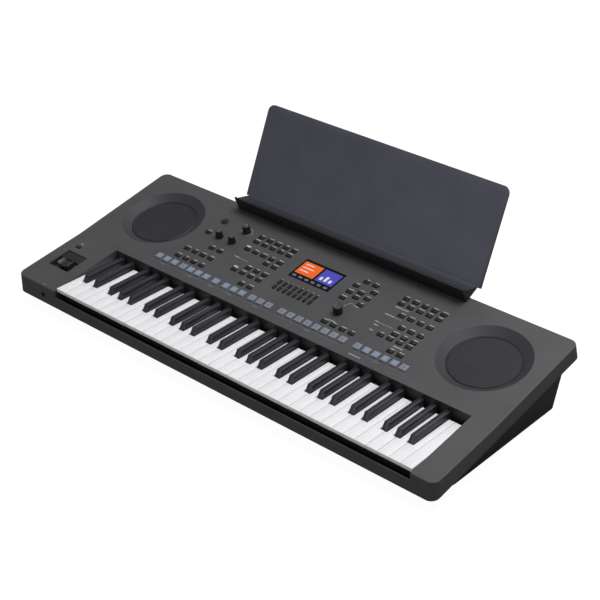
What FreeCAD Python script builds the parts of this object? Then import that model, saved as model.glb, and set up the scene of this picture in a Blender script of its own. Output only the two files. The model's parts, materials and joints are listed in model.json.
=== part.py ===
import FreeCAD, Part
import os
import re
import Sketcher

# Arranger keyboard with 61 keys, built as separate pieces.
# Working coordinates: x to the player's right from the case centre, y (depth) backwards from the case
# front, z up from the floor.  Every finished piece is then shifted so that the origin lies under the
# middle of the whole object.  Controls are laid out on the tilted top panel in coordinates of that panel.

V = FreeCAD.Vector

# Whole numbers that describe the kind.
WHITES_PER_OCTAVE = 7
OCTAVES = 5
WHITE_COUNT = WHITES_PER_OCTAVE * OCTAVES + 1
RIB_STEPS = (-3, -1, 1, 3)
CHIP_STEPS = (-1, 0, 1)

# Lengths that agree within the first count as equal; edges within the second of a surface belong to its rim.
MATCH = 0.01
RIM_BAND = 0.5

# Dimensions: name, value or formula (mm, or degrees for angles), note.  Places along the panel are counted in
# key widths, places up the panel and the cheek are shares of their slopes.
SIZES = [
    ("key_pitch", 23.5, "pitch of the white keys"),
    ("left_cheek", 109, "width of the case left of the keys"),
    ("right_cheek", 49, "width of the case right of the keys"),
    ("key_span", f"{WHITE_COUNT} * key_pitch", "width of all white keys together"),
    ("case_width", "left_cheek + key_span + right_cheek", "width of the case"),
    ("panel_front_depth", 160.6, "depth where the control panel begins"),
    ("panel_run", 239.4, "depth of the control panel"),
    ("rear_lean", 10, "rear band behind the rear top edge"),
    ("panel_rear_depth", "panel_front_depth + panel_run", "depth of the rear top edge"),
    ("case_depth", "panel_rear_depth + rear_lean", "depth of the case at the rear band"),
    ("case_height", 134, "height of the rear top edge"),
    ("panel_front_height", 86, "height where the control panel begins"),
    ("cheek_drop", 23.5, "front face below the start of the control panel"),
    ("cheek_front_height", "panel_front_height - cheek_drop", "top of the front face beside the keys"),
    ("panel_length", "sqrt(panel_run ^ 2 + (case_height - panel_front_height) ^ 2)", "panel along its slope"),
    ("cheek_length", "sqrt(panel_front_depth ^ 2 + cheek_drop ^ 2)", "cheek along its slope"),
    ("bite", 1, "overlap of joined solids, and small steps"),
    ("rear_band", 30, "height of the rear band of the upper case"),
    ("front_bottom", 26, "bottom of the front face"),
    ("rail_height", 22, "height of the rail in front of the keys"),
    ("wall", 3, "wall of the case halves"),
    ("corner_round", 16, "plan rounding of the case corners"),
    ("top_round", 2.5, "rounding of the upper edge"),
    ("play", 0.3, "play between neighbouring pieces"),
    ("front_flange", 10, "width of the flange behind the rail"),
    ("fallboard_drop", 23, "height of the board behind the keys"),
    ("fallboard_bottom", "panel_front_height - fallboard_drop", "lower edge of the board behind the keys"),
    ("lower_inset", 18, "step from the case side to the lower case"),
    ("front_rim", 4, "depth where the lower case begins"),
    ("toe_depth", 30, "depth of the lower case toe"),
    ("toe_height", 13.5, "height of the lower case toe"),
    ("keel_depth", 85, "depth where the flat bottom begins"),
    ("heel_depth", "case_depth - 0.1775 * panel_run", "depth where the flat bottom ends"),
    ("rear_rim", "case_depth - 0.0464 * panel_run", "depth of the lower case at its rear rim"),
    ("lower_round", 6, "rounding of the lower case edges"),
    ("foot_height", 5, "height of the rubber feet below the case"),
    ("foot_radius", 9, "radius of a rubber foot"),
    ("foot_sink", 1, "depth of the seat of a rubber foot"),
    ("foot_x", "17.8723 * key_pitch", "feet to either side of the centre"),
    ("foot_margin", 15, "feet from the ends of the flat bottom"),
    ("foot_front", "keel_depth + foot_margin", "depth of the front feet"),
    ("foot_rear", "heel_depth - foot_margin - lower_round", "depth of the rear feet"),
    ("key_gap", 0.9, "gap between white keys"),
    ("key_side_play", 1, "gap from the outer keys to the case"),
    ("key_front", 6, "depth of the white key fronts"),
    ("key_sink", 19, "white key tops below the control panel"),
    ("key_top", "panel_front_height - key_sink", "height of the white key tops"),
    ("key_thick", 7, "height of a white key"),
    ("key_skin", 2.4, "top of a hollow key"),
    ("key_side", 2, "sides of a hollow key"),
    ("head_length", 50, "length of the wide part of a white key"),
    ("plate_inset", 9.6, "white key plates end before the control panel"),
    ("plate_end", "panel_front_depth - plate_inset", "depth where the white key plates end"),
    ("sharp_foot", "0.5532 * key_pitch", "width of a black key at its foot"),
    ("sharp_front", "key_front + head_length", "depth of the black key fronts"),
    ("sharp_inset", 2.6, "black keys end before the control panel"),
    ("sharp_end", "panel_front_depth - sharp_inset", "depth where the black keys end"),
    ("sharp_rise", 11.5, "black key above the white keys"),
    ("sharp_draft", 1.5, "lean of the black key sides at the top"),
    ("sharp_slope", 9, "lean of the black key front at the top"),
    ("notch_half", "0.3191 * key_pitch", "half width of the notch round a black key"),
    ("outer_shift", "0.1064 * key_pitch", "shift of the two black keys of the group of two"),
    ("wide_shift", "0.1489 * key_pitch", "shift of the outer black keys of the group of three"),
    ("arm_lap", 11, "arm below the end of a key plate"),
    ("arm_start", "plate_end - arm_lap", "depth where a key arm begins"),
    ("arm_width", "0.383 * key_pitch", "width of a key arm"),
    ("arm_drop", 12, "lower side of a key arm below the key tops"),
    ("arm_thick", 6, "thickness of a key arm"),
    ("arm_bottom", "key_top - arm_drop", "lower side of a key arm"),
    ("arm_top", "arm_bottom + arm_thick", "upper side of a key arm"),
    ("pivot_inset", 35.4, "key pivot behind the start of the control panel"),
    ("pivot_depth", "panel_front_depth + pivot_inset", "depth of the key pivot"),
    ("pivot_height", "(arm_bottom + arm_top) / 2", "height of the key pivot"),
    ("nose_radius", 4, "radius of the key nose in its saddle"),
    ("nose_play", 0.3, "play of the key nose in its saddle"),
    ("chassis_front", 18, "front of the key chassis"),
    ("saddle_back", 16, "chassis behind the key pivot"),
    ("chassis_rear", "pivot_depth + saddle_back", "rear of the key chassis"),
    ("chassis_drop", 29, "underside of the key chassis below the key tops"),
    ("chassis_bottom", "key_top - chassis_drop", "underside of the key chassis"),
    ("chassis_plate", 3, "plate of the key chassis"),
    ("saddle_rise", 8, "saddle above the key pivot"),
    ("saddle_top", "pivot_height + saddle_rise", "top of the pivot saddle"),
    ("stop_start", 22, "front of the stop bar"),
    ("stop_end", 38, "rear of the stop bar"),
    ("stop_drop", 18, "stop bar below the key tops"),
    ("stop_top", "key_top - stop_drop", "top of the stop bar"),
    ("felt_thick", 1.5, "thickness of the stop felt"),
    ("felt_inset", 2, "felt from the edges of the stop bar"),
    ("ridge_width", 4, "ridge below the contact board"),
    ("ridge_height", 3, "height of the ridges below the contact board"),
    ("contact_inset", 18.6, "contact board before the control panel"),
    ("contact_width", 44, "width of the contact board"),
    ("contact_front", "contact_rear - contact_width", "front of the contact board"),
    ("contact_rear", "panel_front_depth - contact_inset", "rear of the contact board"),
    ("board_thick", 1.6, "thickness of the circuit boards"),
    ("rubber_inset", 17, "contact rubber behind the front of its board"),
    ("rubber_front", "contact_front + rubber_inset", "front of the contact rubber"),
    ("rubber_width", 10, "width of the contact rubber"),
    ("rubber_base", 2, "base of the contact rubber"),
    ("dome_drop", 11.8, "rubber domes below the key tops"),
    ("rubber_top", "key_top - dome_drop", "top of the contact rubber domes"),
    ("dome_width", 8, "length of one contact rubber dome"),
    ("speaker_x", "16.5532 * key_pitch", "speakers to either side of the centre"),
    ("speaker_line", "0.5201 * panel_length", "speaker centres up the panel"),
    ("dish_radius", "3.5745 * key_pitch", "radius of the speaker dish at the panel"),
    ("dish_floor", "2.8298 * key_pitch", "radius of the speaker dish at its floor"),
    ("dish_depth", 10, "depth of the speaker dish"),
    ("grille_thick", 1.5, "thickness of the speaker grille"),
    ("speaker_hole", "2.5532 * key_pitch", "radius of the opening behind the grille"),
    ("speaker_seat", 2.5, "seat below the grille"),
    ("basket_flange", 2, "flange of the speaker basket"),
    ("basket_depth", 24, "depth of the speaker basket"),
    ("basket_neck", "1.3617 * key_pitch", "radius of the basket at the magnet"),
    ("magnet_radius", "1.5319 * key_pitch", "radius of the speaker magnet"),
    ("magnet_height", 16, "height of the speaker magnet"),
    ("cone_radius", "2.2979 * key_pitch", "radius of the speaker cone"),
    ("cone_neck", "0.6809 * key_pitch", "radius of the speaker cone at the coil"),
    ("cone_depth", 18, "depth of the speaker cone"),
    ("cone_skin", 1.2, "thickness of the speaker cone"),
    ("column_pitch", "0.883 * key_pitch", "pitch of the button columns"),
    ("left_column", "-11.7021 * key_pitch", "first column of the left buttons"),
    ("style_column", "-7.2468 * key_pitch", "first column of the style buttons"),
    ("voice_column", "7.7532 * key_pitch", "first column of the voice buttons"),
    ("bank_column", "4.0426 * key_pitch", "first of the four buttons below the dial"),
    ("menu_column", "3.4043 * key_pitch", "first column of the menu buttons"),
    ("menu_row", "0.5795 * panel_length", "middle row of the menu buttons"),
    ("menu_step", "0.0823 * panel_length", "row step of the menu buttons"),
    ("menu_half_step", "0.0299 * panel_length", "offset of the two middle menu buttons"),
    ("row_top", "0.7352 * panel_length", "uppermost button row"),
    ("row_second", "0.6704 * panel_length", "second button row"),
    ("row_third", "0.564 * panel_length", "third button row"),
    ("row_fourth", "0.4997 * panel_length", "pair below the third row"),
    ("row_part", "0.4534 * panel_length", "voice part row"),
    ("row_pair", "0.4259 * panel_length", "pair above the left rows"),
    ("row_track", "0.3887 * panel_length", "track row"),
    ("row_effect", "0.3739 * panel_length", "effect row"),
    ("row_lower", "0.3182 * panel_length", "lower button row"),
    ("row_front", "0.215 * panel_length", "front button row"),
    ("row_pads", "0.1323 * panel_length", "row of pads"),
    ("button_width", "0.5532 * key_pitch", "width of a button"),
    ("button_length", 7.6, "length of a button"),
    ("slim_width", "0.234 * key_pitch", "width of a slim button"),
    ("slim_length", 11.5, "length of a slim button"),
    ("slim_column", "-2.0511 * key_pitch", "first slim button"),
    ("slim_pitch", "0.5277 * key_pitch", "pitch of the slim buttons"),
    ("slim_upper", "0.3883 * panel_length", "upper row of slim buttons"),
    ("slim_lower", "0.3252 * panel_length", "lower row of slim buttons"),
    ("pad_width", "0.6596 * key_pitch", "width of a pad"),
    ("pad_length", 15, "length of a pad"),
    ("pad_pitch", "0.8681 * key_pitch", "pitch of the pads"),
    ("pads_intro", "-12.9532 * key_pitch", "first of the three left pads"),
    ("pads_main", "-10.2426 * key_pitch", "first of the four main pads"),
    ("pads_fill", "-6.5489 * key_pitch", "single pad"),
    ("pads_start", "-5.4298 * key_pitch", "first of the three start pads"),
    ("pads_song", "-2.6128 * key_pitch", "first of the three song pads"),
    ("pads_memory", "0.5234 * key_pitch", "first of the eight memory pads"),
    ("pads_phrase", "8.0298 * key_pitch", "first of the six phrase pads"),
    ("cap_rise", 2.5, "buttons above the panel"),
    ("cap_depth", 5, "buttons below the panel"),
    ("cap_draft", 0.4, "lean of the button sides"),
    ("lip", 1.2, "retaining lip round a button"),
    ("board_line", 6.5, "top of the panel boards below the panel"),
    ("post_radius", 3, "posts that carry the panel boards"),
    ("post_inset", 5, "posts from the board corners"),
    ("left_board_start", "-12.5957 * key_pitch", "left edge of the left board"),
    ("left_board_end", "-2.8511 * key_pitch", "right edge of the left board"),
    ("right_board_start", "2.766 * key_pitch", "left edge of the right board"),
    ("right_board_end", "12.1702 * key_pitch", "right edge of the right board"),
    ("board_front", "0.1823 * panel_length", "front edge of the panel boards"),
    ("board_rear", "0.77 * panel_length", "rear edge of the panel boards"),
    ("pad_board_start", "-13.8298 * key_pitch", "left edge of the pad board"),
    ("pad_board_end", "13.3617 * key_pitch", "right edge of the pad board"),
    ("pad_board_front", "0.086 * panel_length", "front edge of the pad board"),
    ("pad_board_rear", "0.1782 * panel_length", "rear edge of the pad board"),
    ("screen_x", "-0.0936 * key_pitch", "centre of the display"),
    ("screen_line", "0.6049 * panel_length", "centre of the display up the panel"),
    ("screen_width", "4.1021 * key_pitch", "width of the display window"),
    ("screen_length", 56.4, "height of the display window"),
    ("screen_thick", 1.2, "thickness of the display window"),
    ("screen_rim", 3.5, "seat round the display window"),
    ("glass_rim", 6, "display glass inside the window edge"),
    ("module_half", "2.5532 * key_pitch", "half width of the display carrier"),
    ("module_front", "0.2744 * panel_length", "front edge of the display carrier"),
    ("module_rear", "0.7495 * panel_length", "rear edge of the display carrier"),
    ("volume_x", "-8.8851 * key_pitch", "volume knob"),
    ("volume_line", "0.7311 * panel_length", "volume knob up the panel"),
    ("volume_radius", 8.5, "radius of the volume knob"),
    ("live_left_x", "-10.4085 * key_pitch", "left live knob"),
    ("live_right_x", "-8.9872 * key_pitch", "right live knob"),
    ("live_line", "0.5672 * panel_length", "live knobs up the panel"),
    ("live_radius", 7.8, "radius of the live knobs"),
    ("knob_height", 16, "height of the knobs"),
    ("knob_lift", 0.6, "knobs above the panel"),
    ("knob_taper", 0.74, "top of a knob over its foot"),
    ("knob_round", 1.2, "rounding of the knob tops"),
    ("mark_width", 1.4, "width of a knob mark"),
    ("mark_depth", 0.6, "depth of a knob mark"),
    ("dial_x", "4.2766 * key_pitch", "data dial"),
    ("dial_line", "0.3489 * panel_length", "data dial up the panel"),
    ("dial_radius", 8.9, "radius of the data dial"),
    ("dial_taper", 0.96, "top of the dial over its foot"),
    ("dimple_radius", 3, "finger dimple of the dial"),
    ("stem_radius", 3, "knob stems"),
    ("stem_end", 6, "end of the knob stems below the panel"),
    ("pot_half", 6, "half width of a potentiometer"),
    ("standby_x", "-11.5277 * key_pitch", "standby button"),
    ("standby_line", "0.7401 * panel_length", "standby button up the panel"),
    ("standby_radius", 7, "radius of the standby button"),
    ("standby_well", 10, "radius of the standby recess"),
    ("standby_sink", 0.9, "depth of the standby recess"),
    ("standby_rise", 0.8, "standby button above the panel"),
    ("stick_left", "0.2477 * left_cheek - case_width / 2", "left side of the joystick opening"),
    ("stick_right", "0.7431 * left_cheek - case_width / 2", "right side of the joystick opening"),
    ("stick_front", "0.3512 * cheek_length", "front of the joystick opening"),
    ("stick_rear", "0.6777 * cheek_length", "rear of the joystick opening"),
    ("stick_x", "0.5596 * left_cheek - case_width / 2", "joystick pivot"),
    ("stick_line", "0.4436 * cheek_length", "joystick pivot up the cheek"),
    ("stick_pivot", 14, "joystick pivot below the cheek surface"),
    ("stick_floor", 6, "floor of the joystick opening"),
    ("stick_skin", 2, "walls of the joystick housing"),
    ("stick_plate", "0.5422 * cheek_length", "front of the plate behind the joystick"),
    ("stick_plate_sink", 1.2, "plate below the cheek surface"),
    ("stick_depth", 26, "depth of the joystick housing"),
    ("thumb_half", 15, "half width of the thumb rest"),
    ("thumb_side", 9, "half length of the thumb rest"),
    ("thumb_under", 0.2, "underside of the thumb rest below the surface"),
    ("thumb_top", 8, "horns of the thumb rest"),
    ("thumb_curve", 22, "radius of the thumb hollow"),
    ("thumb_low", 3.5, "lowest point of the thumb hollow"),
    ("thumb_round", 1.5, "rounding of the thumb rest"),
    ("shaft_radius", 4, "joystick shaft"),
    ("pin_radius", 2, "joystick pin"),
    ("cradle_half", 12, "half width of the joystick cradle"),
    ("cradle_side", 11, "half length of the joystick cradle"),
    ("cradle_wall", 3, "wall of the joystick cradle"),
    ("cradle_rise", 3, "cradle above its pivot"),
    ("cradle_drop", 5, "cradle below its pivot"),
    ("trunnion_radius", 2.5, "trunnions of the cradle"),
    ("trunnion_reach", 6, "length of the trunnions"),
    ("lug_half", 6, "half length of the bearing lugs"),
    ("lug_thick", 4, "thickness of the bearing lugs"),
    ("shaft_slot", 9, "half width of the slot for the shaft"),
    ("hold_x", "0.3303 * left_cheek - case_width / 2", "hold button"),
    ("hold_line", "0.7825 * cheek_length", "hold button up the cheek"),
    ("hold_width", 11.5, "width of the hold button"),
    ("hold_length", 6.5, "length of the hold button"),
    ("hold_rise", 2, "hold button above the cheek"),
    ("phones_x", "0.6789 * left_cheek - case_width / 2", "headphone socket"),
    ("phones_rise", 17, "headphone socket above the bottom of the front face"),
    ("phones_height", "front_bottom + phones_rise", "headphone socket above the floor"),
    ("jack_bore", 3.25, "bore radius of the large sockets"),
    ("jack_bush", 5, "bush radius of the large sockets"),
    ("jack_flange", 7, "flange radius of the headphone socket"),
    ("jack_reach", 16, "depth of the large socket bores"),
    ("jack_width", 15, "width of a socket body"),
    ("jack_length", 22, "length of a socket body"),
    ("jack_height", 14, "height of a socket body"),
    ("small_bore", 1.8, "bore radius of the small socket"),
    ("power_bore", 2.8, "bore radius of the power inlet"),
    ("small_reach", 11, "depth of the small socket bores"),
    ("port_width", 12, "width of the data port"),
    ("port_height", 11, "height of the data port"),
    ("port_wall", 1.2, "shell of the data port"),
    ("bay_start", "-2.9787 * key_pitch", "left side of the socket bay"),
    ("bay_end", "7.234 * key_pitch", "right side of the socket bay"),
    ("bay_low", 25, "bottom of the socket bay"),
    ("bay_high", 60, "top of the socket bay"),
    ("bay_face", "case_depth - 0.1671 * panel_run", "depth of the socket face"),
    ("socket_start", "-2.1277 * key_pitch", "first rear socket"),
    ("socket_pitch", "1.4043 * key_pitch", "pitch of the rear sockets"),
    ("socket_height", 43, "rear sockets above the floor"),
    ("main_board_half", "5.1064 * key_pitch", "half width of the main board"),
    ("board_gap", 48, "main board before the socket face"),
    ("main_board_front", "main_board_rear - 0.3509 * panel_run", "front edge of the main board"),
    ("main_board_rear", "bay_face - board_gap", "rear edge of the main board"),
    ("main_board_height", 20, "underside of the main board"),
    ("chip_side", 22, "side of a main board chip"),
    ("chip_height", 2.4, "height of a main board chip"),
    ("chip_pitch", "2.5532 * key_pitch", "pitch of the main board chips"),
    ("boss_radius", 6, "screw bosses"),
    ("boss_split", 20, "height where the front screw bosses meet"),
    ("tower_split", 62, "height where the other screw bosses meet"),
    ("screw_radius", 1.5, "screw shanks"),
    ("screw_hole", 1.7, "screw holes"),
    ("screw_head", 3.4, "radius of the screw heads"),
    ("screw_well", 4, "radius of the wells for the screw heads"),
    ("screw_head_height", 2.4, "height of the screw heads"),
    ("screw_drop", 8, "screw seats below the meeting bosses"),
    ("screw_reach", 14, "screw tips above the meeting bosses"),
    ("screw_socket", 1.4, "radius of the drive recess"),
    ("screw_margin", 12, "screws from the edges they stand at"),
    ("screw_left", "0.8807 * left_cheek - case_width / 2", "front left screw"),
    ("screw_right", "case_width / 2 - 0.6735 * right_cheek", "front right screw"),
    ("screw_front", "foot_front", "depth of the front screws"),
    ("screw_side", "case_width / 2 - lower_inset - screw_margin", "side screws"),
    ("screw_middle", "chassis_rear + screw_margin", "depth of the side screws"),
    ("screw_inner_x", "8.5106 * key_pitch", "inner rear screws"),
    ("screw_rear", "heel_depth - screw_margin", "depth of the rear screws"),
    ("rib_height", 12, "ribs on the floor of the lower case"),
    ("rib_pitch", "4.6809 * key_pitch", "pitch of the floor ribs"),
    ("rib_inset", 25, "floor ribs behind the start of the flat bottom"),
    ("rib_front", "keel_depth + rib_inset", "front end of the floor ribs"),
    ("rib_rear", "chassis_rear - boss_radius", "rear end of the floor ribs"),
    ("rest_half", "12.1277 * key_pitch", "half width of the music rest"),
    ("tray_half", "11.7872 * key_pitch", "half width of its tray"),
    ("rest_lean", 22.6, "lean of the music rest in degrees"),
    ("rest_length", 187, "length of the leaning plate"),
    ("rest_thick", 4, "thickness of the leaning plate"),
    ("rest_round", 14, "rounding of its upper corners"),
    ("rest_gap", 6, "meeting line of plate and tray behind the case"),
    ("rest_rise", 14, "meeting line above the case"),
    ("rest_depth", "case_depth + rest_gap", "depth where plate and tray meet"),
    ("rest_height", "case_height + rest_rise", "height where plate and tray meet"),
    ("rest_skin", 3, "thickness of the tray"),
    ("tray_reach", 27.4, "tray lip before the rear top edge"),
    ("tray_rise", 26.4, "tray lip above the case"),
    ("tray_front", "panel_rear_depth - tray_reach", "depth of the tray lip"),
    ("tray_top", "case_height + tray_rise", "height of the tray lip"),
    ("tray_lip", 4, "lip above the tray floor"),
    ("foot_land", 12, "width of the rest foot on the panel"),
    ("rest_foot_front", "rest_foot_rear - foot_land", "front of the rest foot on the panel"),
    ("rest_foot_rear", "panel_rear_depth - wall", "rear of the rest foot on the panel"),
    ("tongue_x", "9.3617 * key_pitch", "outer tongues of the music rest"),
    ("tongue_width", 26, "width of a tongue"),
    ("tongue_thick", 5, "thickness of a tongue"),
    ("tongue_depth", "(rest_foot_front + rest_foot_rear) / 2", "depth of the tongues"),
    ("tongue_reach", 18, "tongues below the panel"),
]

doc = FreeCAD.newDocument("arranger_keyboard")
sheet = doc.addObject("Spreadsheet::Sheet", "dim")
for line, (size_name, value, note) in enumerate(SIZES, 1):
    sheet.set(f"A{line}", note)
    sheet.setAlias(f"B{line}", size_name)
for line, (size_name, value, note) in enumerate(SIZES, 1):
    sheet.set(f"B{line}", f"={value}")
doc.recompute()
SIZE_NAMES = {size_name for size_name, value, note in SIZES}
FINISHED = []


def cell(text):
    """Write a formula of size names as an expression on the sheet."""
    def refer(match):
        word = match.group()
        return f"dim.{word}" if word in SIZE_NAMES else word
    return re.sub(r"[a-z_]+[a-z]", refer, str(text))


def number(text):
    """Value of a formula of size names."""
    result = sheet.evalExpression(cell(text))
    return float(getattr(result, "Value", result))


def bind(item, **links):
    """Bind properties to formulas; a double underscore stands for a dot."""
    for path, text in links.items():
        item.setExpression(path.replace("__", "."), cell(text))


# Formulas that several pieces share.
PANEL_RISE = "((case_height - panel_front_height) / (panel_rear_depth - panel_front_depth))"
CHEEK_RISE = "((panel_front_height - cheek_front_height) / panel_front_depth)"
UNDER_RISE = "((case_height - rear_band - front_bottom) / case_depth)"
REST_REAR = "(rest_depth + rest_length * sin(rest_lean) + rest_thick * cos(rest_lean))"
SHIFT = f"(-{REST_REAR} / 2)"
KEY_LEFT = "(left_cheek - case_width / 2)"
KEY_RIGHT = f"({KEY_LEFT} + key_span)"
BAY_LEFT = f"({KEY_LEFT} - key_side_play)"
BAY_RIGHT = f"({KEY_RIGHT} + key_side_play)"
KEY_BOTTOM = "(key_top - key_thick)"
LOWER_HALF = "(case_width / 2 - lower_inset)"
CONTACT_TOP = "(chassis_bottom + chassis_plate + ridge_height + board_thick)"
GRILLE_BACK = "(-dish_depth - grille_thick)"
SPEAKER_SIDES = {"left": "-speaker_x", "right": "speaker_x"}


def panel_at(depth):
    """Height of the control panel at a depth."""
    return f"(panel_front_height + ({depth} - panel_front_depth) * {PANEL_RISE})"


def cheek_at(depth):
    """Height of the surface beside the keys at a depth."""
    return f"(cheek_front_height + ({depth}) * {CHEEK_RISE})"


def under_at(depth):
    """Height of the underside of the upper case at a depth."""
    return f"(front_bottom + ({depth}) * {UNDER_RISE})"


# Frames: shift in y, shift in z, tilt about x.
FRAMES = {
    "case": (SHIFT, "0", None),
    "panel": (f"{SHIFT} + panel_front_depth", "panel_front_height", f"atan({PANEL_RISE})"),
    "cheek": (SHIFT, "cheek_front_height", f"atan({CHEEK_RISE})"),
    "panel_cut": ("panel_front_depth", "panel_front_height", f"atan({PANEL_RISE})"),
    "cheek_cut": ("0", "cheek_front_height", f"atan({CHEEK_RISE})"),
}


def place(item, frame):
    """Move a piece into one of the frames."""
    depth, height, tilt = FRAMES[frame]
    if tilt:
        item.Placement = FreeCAD.Placement(V(), FreeCAD.Rotation(V(1, 0, 0), 1))
        bind(item, Placement__Rotation__Angle=tilt)
    bind(item, Placement__Base__y=depth, Placement__Base__z=height)
    return item


def finish(item, label, frame="case"):
    """Name a piece, place it and keep it for the export."""
    if item.TypeId in ("Part::Box", "Part::Cylinder"):
        item = together(f"{label}_piece", [item])
    item.Label = label
    place(item, frame)
    FINISHED.append(item)
    return item


def box(name, x, y, z):
    """Box between pairs of formulas."""
    item = doc.addObject("Part::Box", name)
    bind(item, Length=f"({x[1]}) - ({x[0]})", Width=f"({y[1]}) - ({y[0]})", Height=f"({z[1]}) - ({z[0]})")
    bind(item, Placement__Base__x=x[0], Placement__Base__y=y[0], Placement__Base__z=z[0])
    return item


def around(centre, half):
    """Pair of formulas to either side of a centre."""
    return (f"({centre}) - ({half})", f"({centre}) + ({half})")


AXES = {"x": (V(0, 1, 0), 90), "y": (V(1, 0, 0), -90), "z": (V(0, 0, 1), 0)}


def rod(name, start, length, radius, axis="z"):
    """Cylinder from a start point along an axis."""
    item = doc.addObject("Part::Cylinder", name)
    item.Placement = FreeCAD.Placement(V(), FreeCAD.Rotation(*AXES[axis]))
    bind(item, Radius=radius, Height=length)
    bind(item, Placement__Base__x=start[0], Placement__Base__y=start[1], Placement__Base__z=start[2])
    return item


def cone(name, start, length, low_radius, high_radius):
    """Upright cone from a start point."""
    item = doc.addObject("Part::Cone", name)
    bind(item, Radius1=low_radius, Radius2=high_radius, Height=length)
    bind(item, Placement__Base__x=start[0], Placement__Base__y=start[1], Placement__Base__z=start[2])
    return item


def drafted(name, spot, half_width, half_length, z, draft):
    """Block whose sides lean in towards its top."""
    item = doc.addObject("Part::Wedge", name)
    item.Placement = FreeCAD.Placement(V(), FreeCAD.Rotation(V(1, 0, 0), 90))
    bind(item, Xmin=f"-({half_width})", Xmax=half_width, X2min=f"{draft} - ({half_width})")
    bind(item, X2max=f"({half_width}) - {draft}", Ymin=0, Ymax=f"({z[1]}) - ({z[0]})")
    bind(item, Zmin=f"-({half_length})", Zmax=half_length, Z2min=f"{draft} - ({half_length})")
    bind(item, Z2max=f"({half_length}) - {draft}")
    bind(item, Placement__Base__x=spot[0], Placement__Base__y=spot[1], Placement__Base__z=z[0])
    return item


def together(name, items):
    """Several solids kept side by side."""
    item = doc.addObject("Part::Compound", name)
    item.Links = items
    return item


def union(name, items):
    """Solids joined into one."""
    item = doc.addObject("Part::MultiFuse", name)
    item.Shapes = items
    return item


def minus(name, base, tools):
    """A solid with others taken away."""
    item = doc.addObject("Part::Cut", name)
    item.Base = base
    item.Tool = tools[0] if len(tools) == 1 else together(f"{name}_tools", tools)
    return item


def new_body(name):
    """Empty body with an attached origin."""
    return doc.addObject("PartDesign::Body", name)


def sketch_on(body, name, role, lift="0"):
    """Empty sketch on one of the body's own planes."""
    sketch = body.newObject("Sketcher::SketchObject", name)
    plane = [feature for feature in body.Origin.OriginFeatures if feature.Role == role][0]
    sketch.AttachmentSupport = [(plane, "")]
    sketch.MapMode = "FlatFace"
    bind(sketch, AttachmentOffset__Base__z=lift)
    return sketch


def fix(sketch, geometry, point, x, y):
    """Hold a sketch point by two bound distances from the sketch origin."""
    for kind, text in (("DistanceX", x), ("DistanceY", y)):
        index = sketch.addConstraint(Sketcher.Constraint(kind, -1, 1, geometry, point, number(text)))
        sketch.setExpression(f"Constraints[{index}]", cell(text))


def outline(body, name, points, role="YZ_Plane", lift="0"):
    """Closed polygon through points given as formulas."""
    sketch = sketch_on(body, name, role, lift)
    corners = [V(number(x), number(y), 0) for x, y in points]
    count = len(corners)
    for index in range(count):
        sketch.addGeometry(Part.LineSegment(corners[index], corners[(index + 1) % count]))
    for index in range(count):
        sketch.addConstraint(Sketcher.Constraint("Coincident", index, 2, (index + 1) % count, 1))
    for index, (x, y) in enumerate(points):
        fix(sketch, index, 1, x, y)
    return sketch


def ring(body, name, centre, radius, role="YZ_Plane", lift="0"):
    """Circle given by formulas."""
    sketch = sketch_on(body, name, role, lift)
    middle = V(number(centre[0]), number(centre[1]), 0)
    sketch.addGeometry(Part.Circle(middle, V(0, 0, 1), number(radius)))
    fix(sketch, 0, 3, *centre)
    index = sketch.addConstraint(Sketcher.Constraint("Radius", 0, number(radius)))
    sketch.setExpression(f"Constraints[{index}]", cell(radius))
    return sketch


def grow(body, kind, sketch, length, symmetric=False, backwards=False):
    """Pad or pocket of a sketch."""
    feature = body.newObject(f"PartDesign::{kind}", f"{sketch.Name}_{kind.lower()}")
    feature.Profile = sketch
    feature.SideType = "Symmetric" if symmetric else "One side"
    feature.Reversed = backwards
    bind(feature, Length=length)
    return feature


def edges_of(feature, wanted):
    """Names of the edges of a feature that pass a test."""
    doc.recompute()
    return [f"Edge{index}" for index, edge in enumerate(feature.Shape.Edges, 1) if wanted(edge)]


def rounded(body, feature, edges, radius, name):
    """Fillet on chosen edges of a body's feature."""
    item = body.newObject("PartDesign::Fillet", name)
    item.Base = (feature, edges)
    bind(item, Radius=radius)
    return item


def close(first, second):
    """True when two lengths agree."""
    return abs(first - second) < MATCH


# Button groups: lists of spots on the panel.
def columns(start, picks, row, pitch="column_pitch"):
    """Spots in chosen columns of one row."""
    return [(f"{start} + {pick} * {pitch}", row) for pick in picks]


FIVE = range(5)
FOUR = range(4)
THREE = range(3)
EIGHT = range(8)
LAST_FOUR = range(1, 5)
LAST_THREE = range(2, 5)
LAST_TWO = range(3, 5)
SIX = range(6)
OUTER = (0, 2)

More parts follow.
